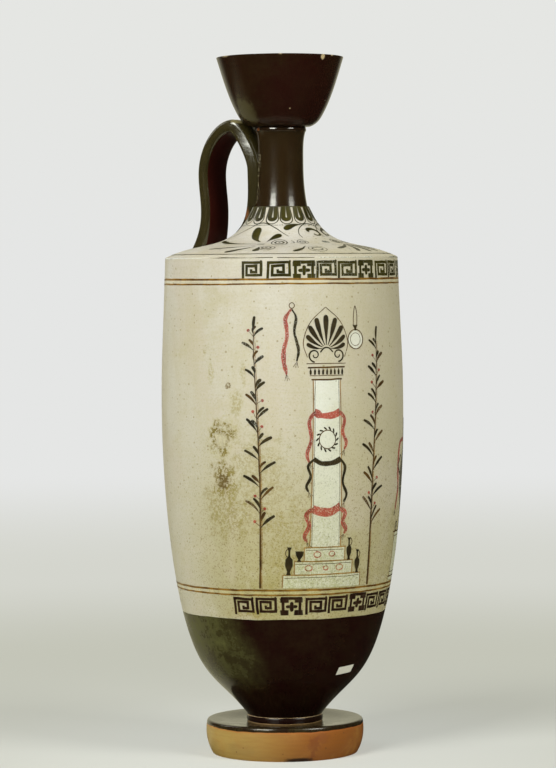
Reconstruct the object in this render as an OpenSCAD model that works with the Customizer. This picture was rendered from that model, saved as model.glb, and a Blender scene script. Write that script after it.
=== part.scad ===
// Oil flask with a tall cylinder body, a strap handle, a deep cup mouth and a disc foot.
// Millimetres. The vase's axis is Z, it rests on z = 0, and the handle stands at +Y.
// Every thrown piece is a profile turned round the axis, and the handle is a pulled strap.

/* [Foot] */
// Widest diameter of the disc foot
foot_d = 86.7; // [84:1:110]
// Diameter of the edge it rests on
foot_rest_d = 79.4; // [66:1:80]
// Height of its side, below the rounded top edge
foot_side_h = 16.8; // [14:0.2:22]
// Rounding of its top edge, seen from the side
foot_round = 1.7; // [1:0.1:3]
// How far its top sinks from the rounded edge to the seat
foot_dish = 1.4; // [1:0.1:4]
// Width of the ring it rests on
foot_ring_w = 10; // [6:0.5:14]
// Depth of the hollow turned into its underside
foot_hollow_h = 7; // [3:0.5:10]

/* [Fillet] */
// Diameter of the clay fillet between foot and body
fillet_d = 40.8; // [38:0.2:50]
// Height of the fillet
fillet_h = 3.8; // [3:0.1:6]
// How far the fillet's side swells
fillet_swell = 0.5; // [0.2:0.1:1]
// Diameter of the body's stub, which the fillet is wrapped round
stub_d = 30; // [26:0.5:34]
// Clearance between the stub and the fillet
lute_gap = 0.1; // [0.05:0.05:0.3]

/* [Body] */
// Widest diameter of the body
body_d = 132.5; // [110:0.2:160]
// Height of the body, from the fillet to the edge of the shoulder
body_h = 249.4; // [205:0.2:300]
// Height of the widest place above the fillet
belly_h = 167; // [130:1:190]
// Height above the fillet where the lower curve turns into the wall
turn_h = 42.5; // [34:0.5:50]
// How far the wall at that turn lies inside the widest radius
turn_in = 14.7; // [12:0.5:18]
// How far the wall draws in again up to the shoulder's edge
edge_in = 2.6; // [1:0.1:5]
// Slope of the lower curve where it leaves the fillet, in degrees from level
base_deg = 52.3; // [45:1:60]
// Slope of the wall at the turn
turn_deg = 71; // [66:1:78]
// Thickness of the thrown wall
body_wall = 4.6; // [3.5:0.1:6]
// Thickness of the floor, above the fillet
floor_t = 8; // [5:0.5:12]

/* [Shoulder] */
// Height of the shoulder, from its edge to the neck
shoulder_h = 28.5; // [24:0.5:34]
// Rounding of the turned edge
edge_round = 2; // [1:0.1:3]
// Slope of the shoulder beside its edge
shoulder_deg = 24.5; // [20:0.5:30]
// Slope of the shoulder where it runs up to the neck
collar_deg = 67; // [60:1:75]
// Width of the small ledge round the neck's foot
ledge_w = 0.9; // [0.4:0.1:1.5]
// Thickness of the shoulder
shoulder_wall = 4.4; // [3.5:0.1:5.5]

/* [Neck] */
// Height of the neck, from the shoulder to the mouth
neck_h = 40.6; // [35:0.2:50]
// Diameter of the neck at its foot
neck_foot_d = 29; // [26.8:0.1:33]
// Diameter of the neck at its waist
neck_d = 24.9; // [22.6:0.1:26.5]
// Height of the waist above the neck's foot
waist_h = 24; // [18:0.5:28]
// Diameter of the neck under the mouth
neck_top_d = 27.3; // [26.6:0.1:33]
// Diameter of the bore from the mouth to the body
bore_d = 18; // [14:0.5:19]

/* [Mouth] */
// Diameter of the mouth over the rim
mouth_d = 69.2; // [58:0.2:84]
// Height of the mouth, from the neck to the rim
mouth_h = 40.6; // [33:0.2:48]
// Diameter of the mouth's underside, inside its round corner
mouth_foot_d = 32.6; // [29:0.2:38]
// Height of the bead under the mouth
bead_h = 2.8; // [1.8:0.1:4]
// How far the bead stands out from the neck
bead_out = 0.5; // [0.3:0.1:1]
// Width of the round corner between the underside and the side
corner_w = 5.8; // [4:0.1:7]
// Height of that corner
corner_h = 4.6; // [3.5:0.1:6]
// Slope of the mouth's side above its round corner
mouth_deg = 58; // [52:1:64]
// Slope of the mouth's side at the rim
rim_deg = 73; // [64:1:78]
// Width of the flat top of the rim
rim_w = 3.8; // [2.5:0.1:5]

/* [Handle] */
// Width of the strap
strap_w = 22; // [16:0.2:23]
// Thickness of the strap up its standing leg
strap_t = 6.6; // [4.5:0.1:7]
// Rounding of the strap's long edges
strap_round = 1.9; // [1:0.1:2.2]
// Distance from the vase's axis to the middle of the strap where it reaches out furthest
reach = 44.6; // [42:0.2:50]
// How far the standing leg draws in below that
leg_in = 1.4; // [0:0.1:3]
// How far the middle of its root lies inside the shoulder's edge
root_in = 12.9; // [9:0.1:18]
// Height above the shoulder's top where it reaches out furthest
reach_h = 18; // [12:0.5:22]
// Rise of the strap's middle over the joint of neck and mouth, at the crest of the arch
crest_up = 3.8; // [0:0.1:5]
// How far the crest lies nearer the neck than the middle of the loop
crest_in = 3; // [0:0.5:5]
// Width of the root over the strap's own width
root_spread = 2; // [2:0.5:6]
// Thickness of the root over the strap's own thickness
root_swell = 2; // [1:0.1:4]
// Thickness of the arch over the strap's own thickness
arch_swell = 0.4; // [0:0.1:2]
// Width of the strap where it is luted to the neck
lute_w = 20; // [15:0.2:22]
// Width of the tongue's tip, where the strap ends on the shoulder
tip_w = 14; // [8:0.5:18]
// Thickness of the tongue's tip
tip_t = 3.2; // [2.4:0.1:5]
// How far the middle of the strap lies outside the neck's waist where it is luted on
lute_out = 0.1; // [0.1:0.1:2]
// How far below the neck's foot the tongue ends
tongue_drop = 14.7; // [10:0.2:16]
// How far outside the neck's foot it ends
tongue_out = 9.9; // [6:0.5:12]

/* [Hidden] */
$fn = 96;

// Colours
glaze = "#2b2318";
ground = "#d8d2b8";
clay = "#bd7c3c";

// Heights of the joints, from the resting plane up
seat_z = foot_side_h + foot_round - foot_dish;
body_z = seat_z + fillet_h;
turn_z = body_z + turn_h;
belly_z = body_z + belly_h;
edge_z = body_z + body_h;
joint_z = edge_z - shoulder_wall;
neck_z = edge_z + shoulder_h;
waist_z = neck_z + waist_h;
mouth_z = neck_z + neck_h;
rim_z = mouth_z + mouth_h;

// Radii that more than one piece uses
body_r = body_d / 2;
edge_r = body_r - edge_in;
fillet_r = fillet_d / 2;
bore_r = bore_d / 2;
neck_foot_r = neck_foot_d / 2;
neck_r = neck_d / 2;
neck_top_r = neck_top_d / 2;
collar_r = neck_foot_r + ledge_w;
stub_r = stub_d / 2;

// Steps along one stretch of a curve
steps = 12;
// Depth that a cutting solid runs past a piece
past = 1;
// Softening of the rim's outer edge; its inner edge has twice as much
rim_round = 0.4;
// Rise of the mouth's underside from the bead to the corner
under_rise = 0.1;
// How far the foot's side, where its rounded top edge starts, lies inside the widest radius
side_in = 0.5;
// Depth below the neck's foot where the handle's leg stands straight
leg_drop = 2;
// Depth below the neck's waist where the strap first lies along the neck
lute_drop = 3;

function heading(deg) = [cos(deg), sin(deg)];

// A Bezier curve from p to q. It leaves p at p_deg and reaches q at q_deg, in degrees from +X, and each
// end pulls it along for its own share of the distance between them.
function flow(p, p_deg, p_pull, q, q_deg, q_pull, n = steps) =
    let (span = norm(q - p))
    let (b = p + span * p_pull * heading(p_deg))
    let (c = q - span * q_pull * heading(q_deg))
    [for (i = [0 : n])
        let (t = i / n, u = 1 - t)
        u * u * u * p + 3 * u * u * t * b + 3 * u * t * t * c + t * t * t * q];

// The points after the first, so that joined curves don't repeat a point
function rest(pts) = [for (i = [1 : len(pts) - 1]) pts[i]];
function backwards(pts) = [for (i = [len(pts) - 1 : -1 : 0]) pts[i]];

// Direction of a row of points at one of them
function along(pts, i) =
    let (step = pts[min(i + 1, len(pts) - 1)] - pts[max(i - 1, 0)])
    step / norm(step);

// A row of points moved to its left side by a wall's thickness
function inset(pts, wall) =
    [for (i = [0 : len(pts) - 1]) let (d = along(pts, i)) pts[i] + wall * [-d.y, d.x]];

// An upright stretch of outline from z0 to z1 that bulges out in its middle
function swelling(r, z0, z1, bulge, n = 8) =
    [for (i = [0 : n]) let (t = i / n) [r + 4 * bulge * t * (1 - t), z0 + (z1 - z0) * t]];

function angle_of(step) = atan2(step.y, step.x);

// Outside of the body, from the fillet up to the joint with the shoulder
wall_top = flow([body_r, belly_z], 90, 0.36, [edge_r, edge_z], 92, 0.6);
body_line = concat(
    flow([fillet_r, body_z], base_deg, 0.43, [body_r - turn_in, turn_z], turn_deg, 0.48, 20),
    rest(flow([body_r - turn_in, turn_z], turn_deg, 0.27, [body_r, belly_z], 90, 0.28, 30)),
    [for (p = rest(wall_top)) if (p.y < joint_z) p]);

// Outside of the shoulder, from the joint over the turned edge to the neck
edge_start = [edge_r, edge_z];
edge_end = edge_start + edge_round * [-1, 0.9];
shoulder_line = concat(
    [edge_start],
    rest(flow(edge_start, 92, 0.45, edge_end, 180 - shoulder_deg, 0.35, 6)),
    rest(flow(edge_end, 180 - shoulder_deg, 0.42, [collar_r, neck_z], 180 - collar_deg, 0.51, 24)));

// Outside of the neck
neck_line = concat(
    flow([neck_foot_r, neck_z], 101, 0.36, [neck_r, waist_z], 90, 0.36),
    rest(flow([neck_r, waist_z], 90, 0.4, [neck_top_r, mouth_z], 74, 0.3)));

// Outside of the mouth: the bead, the underside, the round corner and the side
under_z = mouth_z + bead_h;
under_end = [mouth_foot_d / 2, under_z + under_rise];
side_start = under_end + [corner_w, corner_h];
rim_edge = [mouth_d / 2, rim_z - rim_round];
mouth_line = concat(
    swelling(neck_top_r, mouth_z, under_z, bead_out),
    flow(under_end, 19, 0.32, side_start, mouth_deg, 0.35, 8),
    rest(flow(side_start, mouth_deg, 0.3, rim_edge, rim_deg, 0.32, 16)));

module turned(outline) {
    rotate_extrude() polygon(outline);
}

// Solid shapes of the outsides, which the handle's ends are cut to
module shoulder_core() {
    turned(concat([[0, joint_z - past], [edge_r, joint_z - past]], shoulder_line, [[0, neck_z]]));
}
module neck_core() {
    turned(concat([[0, neck_z - past], [neck_foot_r, neck_z - past]], neck_line, [[0, mouth_z]]));
}
module mouth_core() {
    turned(concat([[0, mouth_z - past], [neck_top_r, mouth_z - past]], mouth_line, [[0, rim_z]]));
}

module foot() {
    side_top = [foot_d / 2 - side_in, foot_side_h];
    crest = [side_top.x - foot_round, foot_side_h + foot_round];
    side = flow([foot_rest_d / 2, 0], 58, 0.32, side_top, 98, 0.36);
    edge = flow(side_top, 98, 0.5, crest, 180, 0.5, 6);
    top = flow(crest, 180, 0.4, [fillet_r + past, seat_z], 180, 0.4, 8);
    ring_r = foot_rest_d / 2 - foot_ring_w;
    hollow = flow([ring_r, 0], 125, 0.4, [0, foot_hollow_h], 180, 0.5, 10);
    color(clay)
    turned(concat([[ring_r, 0]], side, rest(edge), rest(top), [[0, seat_z]], backwards(rest(hollow))));
}

module fillet() {
    inner_r = stub_r + lute_gap;
    side = swelling(fillet_r, seat_z, body_z, fillet_swell);
    color(glaze)
    turned(concat([[inner_r, seat_z]], side, [[inner_r, body_z]]));
}

module body() {
    floor_z = body_z + floor_t;
    inner = [for (p = concat(inset(body_line, body_wall), [[edge_r - body_wall, joint_z]]))
        if (p.y > floor_z + body_wall) p];
    bowl = flow([0, floor_z], 0, 0.45, inner[0], angle_of(inner[1] - inner[0]), 0.4, 8);
    color(ground)
    turned(concat(
        [[0, seat_z], [stub_r, seat_z], [stub_r, body_z]],
        body_line,
        [[edge_r, joint_z], [edge_r - body_wall, joint_z]],
        backwards([for (p = inner) if (p.y < joint_z) p]),
        backwards([for (i = [0 : len(bowl) - 2]) bowl[i]])));
}

module shoulder() {
    under = [for (p = inset(shoulder_line, shoulder_wall))
        if (p.y > joint_z && p.x < edge_r - body_wall && p.x > bore_r + past) p];
    color(ground)
    turned(concat(
        [[edge_r - body_wall, joint_z], [edge_r, joint_z]],
        shoulder_line,
        [[bore_r, neck_z], [bore_r, under[len(under) - 1].y + past]],
        backwards(under)));
}

module neck() {
    color(glaze)
    turned(concat([[bore_r, neck_z]], neck_line, [[bore_r, mouth_z]]));
}

module mouth() {
    inner_rim = [rim_edge.x - rim_w, rim_z - 2 * rim_round];
    funnel = flow(inner_rim, 262, 0.45, [bore_r, mouth_z + bead_h], 268, 0.4, 20);
    color(glaze)
    turned(concat(
        [[bore_r, mouth_z]],
        mouth_line,
        [[rim_edge.x - rim_round, rim_z], [inner_rim.x + 2 * rim_round, rim_z]],
        funnel));
}

// Middle line of the strap in the plane of the handle, as [distance from the axis, height]
root_p = [edge_r - root_in, edge_z - past];
leg_p = [reach - leg_in, neck_z - leg_drop];
out_p = [reach, neck_z + reach_h];
crest_p = [(reach + neck_r) / 2 - crest_in, mouth_z + crest_up];
lute_p = [neck_r + lute_out, waist_z - lute_drop];
tip_p = [neck_foot_r + tongue_out, neck_z - tongue_drop];
strap_line = concat(
    flow(root_p, 118, 0.3, leg_p, 90, 0.45, 7),
    rest(flow(leg_p, 90, 0.35, out_p, 90, 0.35, 5)),
    rest(flow(out_p, 90, 0.42, crest_p, 180, 0.3, 12)),
    rest(flow(crest_p, 180, 0.14, lute_p, 268, 0.26, 10)),
    rest(flow(lute_p, 268, 0.46, tip_p, 320, 0.3, 10)));
// Station of each point: 0 root, 1 leg, 2 furthest out, 3 crest, 4 where it meets the neck, 5 tip
stations = concat([0], counted(0, 7), counted(1, 5), counted(2, 12), counted(3, 10), counted(4, 10));
function counted(from, n) = [for (i = [1 : n]) from + i / n];

// Half widths and half thicknesses at the stations, with smooth steps between them
half_widths = [strap_w + root_spread, strap_w, strap_w, strap_w, lute_w, tip_w] / 2;
arch_t = strap_t + arch_swell;
half_depths = [strap_t + root_swell, strap_t, strap_t, arch_t, arch_t, tip_t] / 2;
function at_station(values, s) =
    let (k = min(floor(s), len(values) - 2), t = s - k, w = t * t * (3 - 2 * t))
    values[k] * (1 - w) + values[k + 1] * w;

// Outline of the strap across its length: a flat bar with rounded corners
corner_steps = 3;
sides = 4 * (corner_steps + 1);
function strap_outline(w, h) =
    let (c = min(strap_round, h - 0.1))
    [for (quarter = [0 : 3]) for (i = [0 : corner_steps])
        let (a = 90 * (quarter + i / corner_steps))
        let (middle = [(w - c) * (quarter == 0 || quarter == 3 ? 1 : -1), (h - c) * (quarter < 2 ? 1 : -1)])
        middle + c * heading(a)];

module strap() {
    rings = len(strap_line);
    points = [for (i = [0 : rings - 1])
        let (d = along(strap_line, i), s = stations[i])
        let (w = at_station(half_widths, s), h = at_station(half_depths, s))
        for (q = strap_outline(w, h))
            let (p = strap_line[i] + q.y * [-d.y, d.x])
            [q.x, p.x, p.y]];
    skin = [for (i = [0 : rings - 2]) for (j = [0 : sides - 1])
        let (a = i * sides + j, b = i * sides + (j + 1) % sides)
        each [[a, b, b + sides], [a, b + sides, a + sides]]];
    ends = [
        [for (j = [sides - 1 : -1 : 0]) j],
        [for (j = [0 : sides - 1]) (rings - 1) * sides + j]];
    polyhedron(points, concat(skin, ends), convexity = 6);
}

module handle() {
    color(glaze)
    difference() {
        strap();
        shoulder_core();
        neck_core();
        mouth_core();
    }
}

foot();
fillet();
body();
shoulder();
neck();
mouth();
handle();
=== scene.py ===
"""Looks for the oil flask: glaze, white ground and bare clay, with painted bands and line ornament.

Sizes are millimetres until a mesh is made, which is in metres. Angles on the pot are degrees from its
painted front, which faces -Y, and grow towards +X. The handle stands at +Y, which is 180 degrees.
"""
import math

import bpy
import numpy as np
from mathutils import Matrix, Vector


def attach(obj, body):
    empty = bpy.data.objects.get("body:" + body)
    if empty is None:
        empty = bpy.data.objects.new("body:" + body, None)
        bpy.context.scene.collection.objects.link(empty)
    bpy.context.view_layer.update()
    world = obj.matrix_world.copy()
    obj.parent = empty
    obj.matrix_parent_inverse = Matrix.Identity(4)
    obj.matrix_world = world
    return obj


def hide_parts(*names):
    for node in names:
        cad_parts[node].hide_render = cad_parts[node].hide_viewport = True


MM = 0.001
ROUND = 360  # steps round a turned piece
SKIN = 0.15  # how far the painted surfaces lie inside the model's, to leave room for the paint
FILM = 0.06  # how far a brush stroke lies over its ground
OVERLAP = 0.002  # how far neighbouring strokes of one paint differ in height
WIDTH_WAVE, COURSE_WAVE = 2.5, 5.0  # lengths over which a stroke's width and its course wander
SEED = 41
# How far each paint of the picture lies over the first one
LIFTS = {"white": 0.0, "wash": 0.012, "red": 0.024, "line": 0.036, "black": 0.048}

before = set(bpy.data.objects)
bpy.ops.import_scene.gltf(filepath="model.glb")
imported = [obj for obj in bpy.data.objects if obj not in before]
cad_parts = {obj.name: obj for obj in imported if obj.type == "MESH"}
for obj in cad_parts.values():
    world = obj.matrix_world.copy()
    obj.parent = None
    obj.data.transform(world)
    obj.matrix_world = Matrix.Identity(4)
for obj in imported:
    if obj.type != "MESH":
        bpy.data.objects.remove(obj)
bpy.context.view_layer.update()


# Curves

def heading(deg):
    """The unit direction at an angle from +X: its cosine and sine."""
    return np.array([math.cos(math.radians(deg)), math.sin(math.radians(deg))])


def flow(p, p_deg, p_pull, q, q_deg, q_pull, n):
    """A cubic Bezier in n steps from p to q, which leaves p at p_deg and reaches q at q_deg, in degrees from
    +X. Each end pulls the curve along for its own share of the distance between them."""
    p, q = np.array(p, float), np.array(q, float)
    span = np.linalg.norm(q - p)
    b = p + span * p_pull * heading(p_deg)
    c = q - span * q_pull * heading(q_deg)
    t = np.linspace(0, 1, n + 1)[:, None]
    u = 1 - t
    return u**3 * p + 3 * u * u * t * b + 3 * u * t * t * c + t**3 * q


def swelling(r, z0, z1, bulge):
    """An upright stretch of outline from z0 to z1 that bulges out in its middle as a parabola."""
    t = np.linspace(0, 1, 13)
    return np.column_stack([r + 4 * bulge * t * (1 - t), z0 + (z1 - z0) * t])


def joined(*lines):
    """Rows of points end to end, without the points that repeat."""
    rows = np.vstack(lines)
    step = np.linalg.norm(np.diff(rows, axis=0), axis=1)
    return rows[np.concatenate([[True], step > 1e-6])]


def along(line):
    """Unit direction of a row of points at each of them."""
    step = np.gradient(line, axis=0)
    return step / np.linalg.norm(step, axis=1)[:, None]


def inset(line, depth):
    """The line moved to its left side, which is inwards where it climbs."""
    d = along(line)
    return line + depth * np.column_stack([-d[:, 1], d[:, 0]])


# Heights of the joints, radii and points on the outline, as the model has them
SEAT_Z, BODY_Z, EDGE_Z, JOINT_Z = 17.1, 20.9, 270.3, 265.9
NECK_Z, WAIST_Z, MOUTH_Z, RIM_Z = 298.8, 322.8, 339.4, 380.0
TURN, BELLY, EDGE = [51.55, 63.4], [66.25, 187.9], [63.65, EDGE_Z]
EDGE_END = [61.65, 272.1]
BORE_R, NECK_FOOT_R, NECK_R, NECK_TOP_R = 9.0, 14.5, 12.45, 13.65
FILLET_R, STUB_R = 20.4, 15.0
JOINT_R = 59.05  # inside of the joint between wall and shoulder
WALL_THICK, SHOULDER_THICK = 4.6, 4.4
FLOOR_Z, BOWL_Z = 28.9, 34.0  # the inside's lowest point, and where its bowl meets the wall's inside
BEAD_Z = 342.2  # where the bead ends and the cup begins

pot_line = inset(joined(
    flow([FILLET_R, BODY_Z], 52.3, 0.43, TURN, 71, 0.48, 44),
    flow(TURN, 71, 0.27, BELLY, 90, 0.28, 60),
    flow(BELLY, 90, 0.36, EDGE, 92, 0.6, 44),
    flow(EDGE, 92, 0.45, EDGE_END, 155.5, 0.35, 12),
    flow(EDGE_END, 155.5, 0.42, [15.4, NECK_Z], 113, 0.51, 60)), SKIN)
joint_row = int(np.argmax(pot_line[:, 1] >= JOINT_Z))
wall_line, shoulder_line = pot_line[:joint_row + 1], pot_line[joint_row:]
fillet_line = swelling(FILLET_R, SEAT_Z, BODY_Z, 0.5)

neck_line = joined(
    flow([NECK_FOOT_R, NECK_Z], 101, 0.36, [NECK_R, WAIST_Z], 90, 0.36, 30),
    flow([NECK_R, WAIST_Z], 90, 0.4, [NECK_TOP_R, MOUTH_Z], 74, 0.3, 30))

mouth_corner, mouth_side, rim_edge = [16.3, 342.3], [22.1, 346.9], [34.6, 379.6]
rim_inside, rim_lip = [31.8, RIM_Z], [30.8, 379.2]
mouth_line = joined(
    flow([NECK_TOP_R, MOUTH_Z], 12, 0.26, [NECK_TOP_R, BEAD_Z], 116, 0.44, 16),
    flow(mouth_corner, 19, 0.32, mouth_side, 58, 0.35, 20),
    flow(mouth_side, 58, 0.3, rim_edge, 73, 0.32, 48))
funnel_line = flow(rim_lip, 262, 0.45, [BORE_R, BEAD_Z], 268, 0.4, 40)


# Turned pieces

def put(name, points, faces, slot, uv=None, sharp_deg=38):
    """A mesh object from points in mm and faces, smooth but for its sharp edges. It rides on the pot."""
    mesh = bpy.data.meshes.new(name)
    mesh.from_pydata(np.asarray(points) * MM, [], faces)
    mesh.polygons.foreach_set("use_smooth", np.ones(len(mesh.polygons), bool))
    mesh.set_sharp_from_angle(angle=math.radians(sharp_deg))
    if uv is not None:
        corner = np.empty(len(mesh.loops), np.int32)
        mesh.loops.foreach_get("vertex_index", corner)
        mesh.uv_layers.new(name="stroke").data.foreach_set("uv", np.asarray(uv)[corner].ravel())
    mesh.update()
    piece = bpy.data.objects.new(name, mesh)
    bpy.context.scene.collection.objects.link(piece)
    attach(piece, "root")
    return piece


def ring_faces(start, after, count):
    """Quads between two rings of count points, the lower starting at start and the upper at after."""
    j = np.arange(count)
    k = (j + 1) % count
    return np.column_stack([start + j, start + k, after + k, after + j])


def turned(name, outline, slot, closed=True):
    """A solid turned round the axis: each outline row [r, z] becomes the ring (r sin a, -r cos a, z).
    The outline runs anticlockwise. It is a closed loop, or open with both its ends on the axis."""
    outline = np.asarray(outline, float)
    a = np.linspace(0, 2 * math.pi, ROUND, endpoint=False)
    points, faces, starts = [], [], []
    total = 0
    for r, z in outline:
        starts.append(total)
        if r < 1e-6:
            points.append([[0, 0, z]])
            total += 1
        else:
            points.append(np.column_stack([r * np.sin(a), -r * np.cos(a), np.full(ROUND, z)]))
            total += ROUND
    rows = len(outline)
    j = np.arange(ROUND)
    k = (j + 1) % ROUND
    for i in range(rows if closed else rows - 1):
        low, high = i, (i + 1) % rows
        start, after = starts[low], starts[high]
        if outline[low][0] < 1e-6:
            fan = np.column_stack([np.full(ROUND, start), after + k, after + j])
        elif outline[high][0] < 1e-6:
            fan = np.column_stack([start + j, start + k, np.full(ROUND, after)])
        else:
            fan = ring_faces(start, after, ROUND)
        faces += fan.tolist()
    return put(name, np.vstack(points), faces, slot)


def make_foot():
    """A disc with a rounded top edge, a slightly dished top and a hollow turned into its underside."""
    side_top, crest = [42.85, 16.8], [41.15, 18.5]
    hollow = flow([29.7, 0], 125, 0.4, [0, 7], 180, 0.5, 24)
    side = flow([39.7, 0], 58, 0.32, side_top, 98, 0.36, 40)
    edge = flow(side_top, 98, 0.5, crest, 180, 0.5, 12)
    dish = flow(crest, 180, 0.4, [21.4, SEAT_Z], 180, 0.4, 24)
    outline = joined(hollow[::-1], side, edge, dish, [[0, SEAT_Z]])
    piece = turned("turned_foot", outline, "reserved_clay", closed=False)
    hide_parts("foot")
    return piece


def make_fillet():
    """A ring round the stub whose outside bulges."""
    outline = joined([[STUB_R + 0.1, SEAT_Z]], fillet_line, [[STUB_R + 0.1, BODY_Z]])
    piece = turned("luting_fillet", outline, "black_glaze")
    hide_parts("fillet")
    return piece


def make_wall():
    """The thrown wall with its floor and stub. The inside follows the outside, one wall's thickness in, and
    ends below in a shallow bowl."""
    inner = inset(wall_line, WALL_THICK - SKIN)
    inner = inner[inner[:, 1] > BOWL_Z][::4]
    bowl = flow([0, FLOOR_Z], 0, 0.45, inner[0], 48, 0.4, 12)
    stub = [[0, SEAT_Z], [STUB_R, SEAT_Z], [STUB_R, BODY_Z]]
    outline = joined(stub, wall_line, inner[::-1], bowl[::-1])
    piece = turned("thrown_body", outline, "white_ground", closed=False)
    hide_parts("body")
    return piece


def make_shoulder():
    """The sloping cover. Its underside follows its top, from the joint with the wall to the neck's bore."""
    under = inset(shoulder_line, SHOULDER_THICK - SKIN)
    under = under[(under[:, 1] > JOINT_Z) & (under[:, 0] < JOINT_R) & (under[:, 0] > 10)][::4]
    start, bore = [[JOINT_R, shoulder_line[0][1]]], [[BORE_R, NECK_Z], [BORE_R, under[-1][1] + 1]]
    outline = joined(start, shoulder_line, bore, under[::-1])
    piece = turned("thrown_shoulder", outline, "white_ground")
    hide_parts("shoulder")
    return piece


def make_neck():
    """A waisted tube with a straight bore."""
    outline = joined([[BORE_R, NECK_Z]], neck_line, [[BORE_R, MOUTH_Z]])
    piece = turned("thrown_neck", outline, "black_glaze")
    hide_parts("neck")
    return piece


def make_mouth():
    """The cup with its bead, round corner, flat rim and funnel. The rim's edges are softened arcs. The faces
    below the cup, which are the bead's, take the second material."""
    outer_round = flow(rim_edge, 73, 0.5, [34.1, RIM_Z], 180, 0.5, 6)
    inner_round = flow(rim_inside, 180, 0.5, rim_lip, 262, 0.5, 6)
    outline = joined([[BORE_R, MOUTH_Z]], mouth_line, outer_round, inner_round, funnel_line)
    piece = turned("thrown_mouth", outline, "black_glaze")
    kind = [int(face.center.z < (BEAD_Z - 0.1) * MM) for face in piece.data.polygons]
    piece.data.polygons.foreach_set("material_index", kind)
    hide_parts("mouth")
    return piece


# The handle

def smoothstep(t):
    """From 0 at 0 to 1 at 1, level at both ends: three t squared less two t cubed."""
    return t * t * (3 - 2 * t)


def make_handle():
    """A strap swept along its middle line in the plane x = 0. Its section is a flat bar with rounded corners,
    whose half width and half thickness run smoothly between six stations. From about the crest on, which is
    station 3, its sides lean in, so that its outer face is the narrower one, and its corners are less round.
    Each flat face is raised a little, by the parabola's height at its two edges, which are its only points.
    The inner face takes the second material."""
    corner_r, sharper_by, crown_high, lean_in = 2.8, 1.2, 0.35, 0.105
    root, leg, out = [50.75, 269.3], [43.2, 296.8], [44.6, 316.8]
    crest, lute, tip = [25.525, 343.2], [12.55, 319.8], [24.4, 284.1]
    spans = [
        flow(root, 118, 0.3, leg, 90, 0.45, 28),
        flow(leg, 90, 0.35, out, 90, 0.35, 16),
        flow(out, 90, 0.42, crest, 180, 0.3, 40),
        flow(crest, 180, 0.14, lute, 268, 0.26, 40),
        flow(lute, 268, 0.46, tip, 320, 0.3, 40)]
    line = joined(*spans)
    station = np.concatenate([[0]] + [k + np.arange(1, len(s)) / (len(s) - 1) for k, s in enumerate(spans)])
    half_width = at_station([24, 22, 22, 22, 20, 14], station) / 2 - 0.05
    half_depth = at_station([8.6, 6.6, 6.6, 7.0, 7.0, 3.2], station) / 2 - 0.05

    quarter = np.radians(np.linspace(0, 90, 9))
    turn = np.concatenate([quarter + k * math.pi / 2 for k in range(4)])
    side_x = np.repeat([1, -1, -1, 1], len(quarter))
    side_y = np.repeat([1, 1, -1, -1], len(quarter))
    past_crest = smoothstep(np.clip(station - 2.6, 0, 1))
    corner = np.minimum(corner_r - sharper_by * past_crest, half_depth - 0.1)[:, None]
    qx = side_x * (half_width[:, None] - corner) + corner * np.cos(turn)
    qy = side_y * (half_depth[:, None] - corner) + corner * np.sin(turn)
    leaning = smoothstep(np.clip((station - 2.8) / 0.75, 0, 1))[:, None]
    qx = qx * (1 - lean_in * leaning * (1 - qy / half_depth[:, None]))
    on_face = np.abs(np.sin(turn)) > 0.999
    crown = crown_high * (1 - (qx / half_width[:, None]) ** 2) * np.sign(qy) * on_face
    d = along(line)
    points = np.stack([
        qx,
        line[:, :1] - (qy + crown) * d[:, 1:],
        line[:, 1:] + (qy + crown) * d[:, :1]], axis=-1)
    sides, rings = len(turn), len(line)
    faces = np.vstack([ring_faces(i * sides, (i + 1) * sides, sides) for i in range(rings - 1)])
    faces = faces[:, ::-1].tolist()
    faces.append(list(range(sides)))
    faces.append(list(range((rings - 1) * sides, rings * sides))[::-1])
    piece = put("strap_handle", points.reshape(-1, 3), faces, "black_glaze", sharp_deg=60)
    kind = np.zeros(len(piece.data.polygons), np.int32)
    inner = np.arange(len(quarter) - 3, len(quarter) + 2)
    kind[(np.arange(rings - 1)[:, None] * sides + inner).ravel()] = 1
    piece.data.polygons.foreach_set("material_index", kind)
    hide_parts("handle")
    return piece


def at_station(values, station):
    """Values at the whole stations, with smooth steps between them."""
    values = np.array(values, float)
    k = np.minimum(station.astype(int), len(values) - 2)
    w = smoothstep(station - k)
    return values[k] * (1 - w) + values[k + 1] * w


# Painting

class Canvas:
    """A turned surface to paint on. A place on it is (angle in degrees, distance up its outline in mm)."""

    def __init__(self, line):
        self.line = line
        self.s = np.concatenate([[0], np.cumsum(np.linalg.norm(np.diff(line, axis=0), axis=1))])
        d = along(line)
        self.out = np.column_stack([d[:, 1], -d[:, 0]])

    def per_degree(self, s):
        """Millimetres round the surface for one degree."""
        return np.interp(s, self.s, self.line[:, 0]) * math.pi / 180

    def up(self, z):
        """Distance up the outline at a height."""
        return np.interp(z, self.line[:, 1], self.s)

    def lay(self, a, s, lift):
        """Points at those places, lifted off the surface along its normal."""
        r = np.interp(s, self.s, self.line[:, 0]) + lift * np.interp(s, self.s, self.out[:, 0])
        z = np.interp(s, self.s, self.line[:, 1]) + lift * np.interp(s, self.s, self.out[:, 1])
        a = np.radians(a)
        return np.stack([r * np.sin(a), -r * np.cos(a), z], axis=-1)


wall = Canvas(pot_line)
shoulder = Canvas(pot_line[int(np.argmax(pot_line[:, 1] >= EDGE_Z)):])
neck = Canvas(neck_line)
joint = Canvas(fillet_line)


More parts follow.
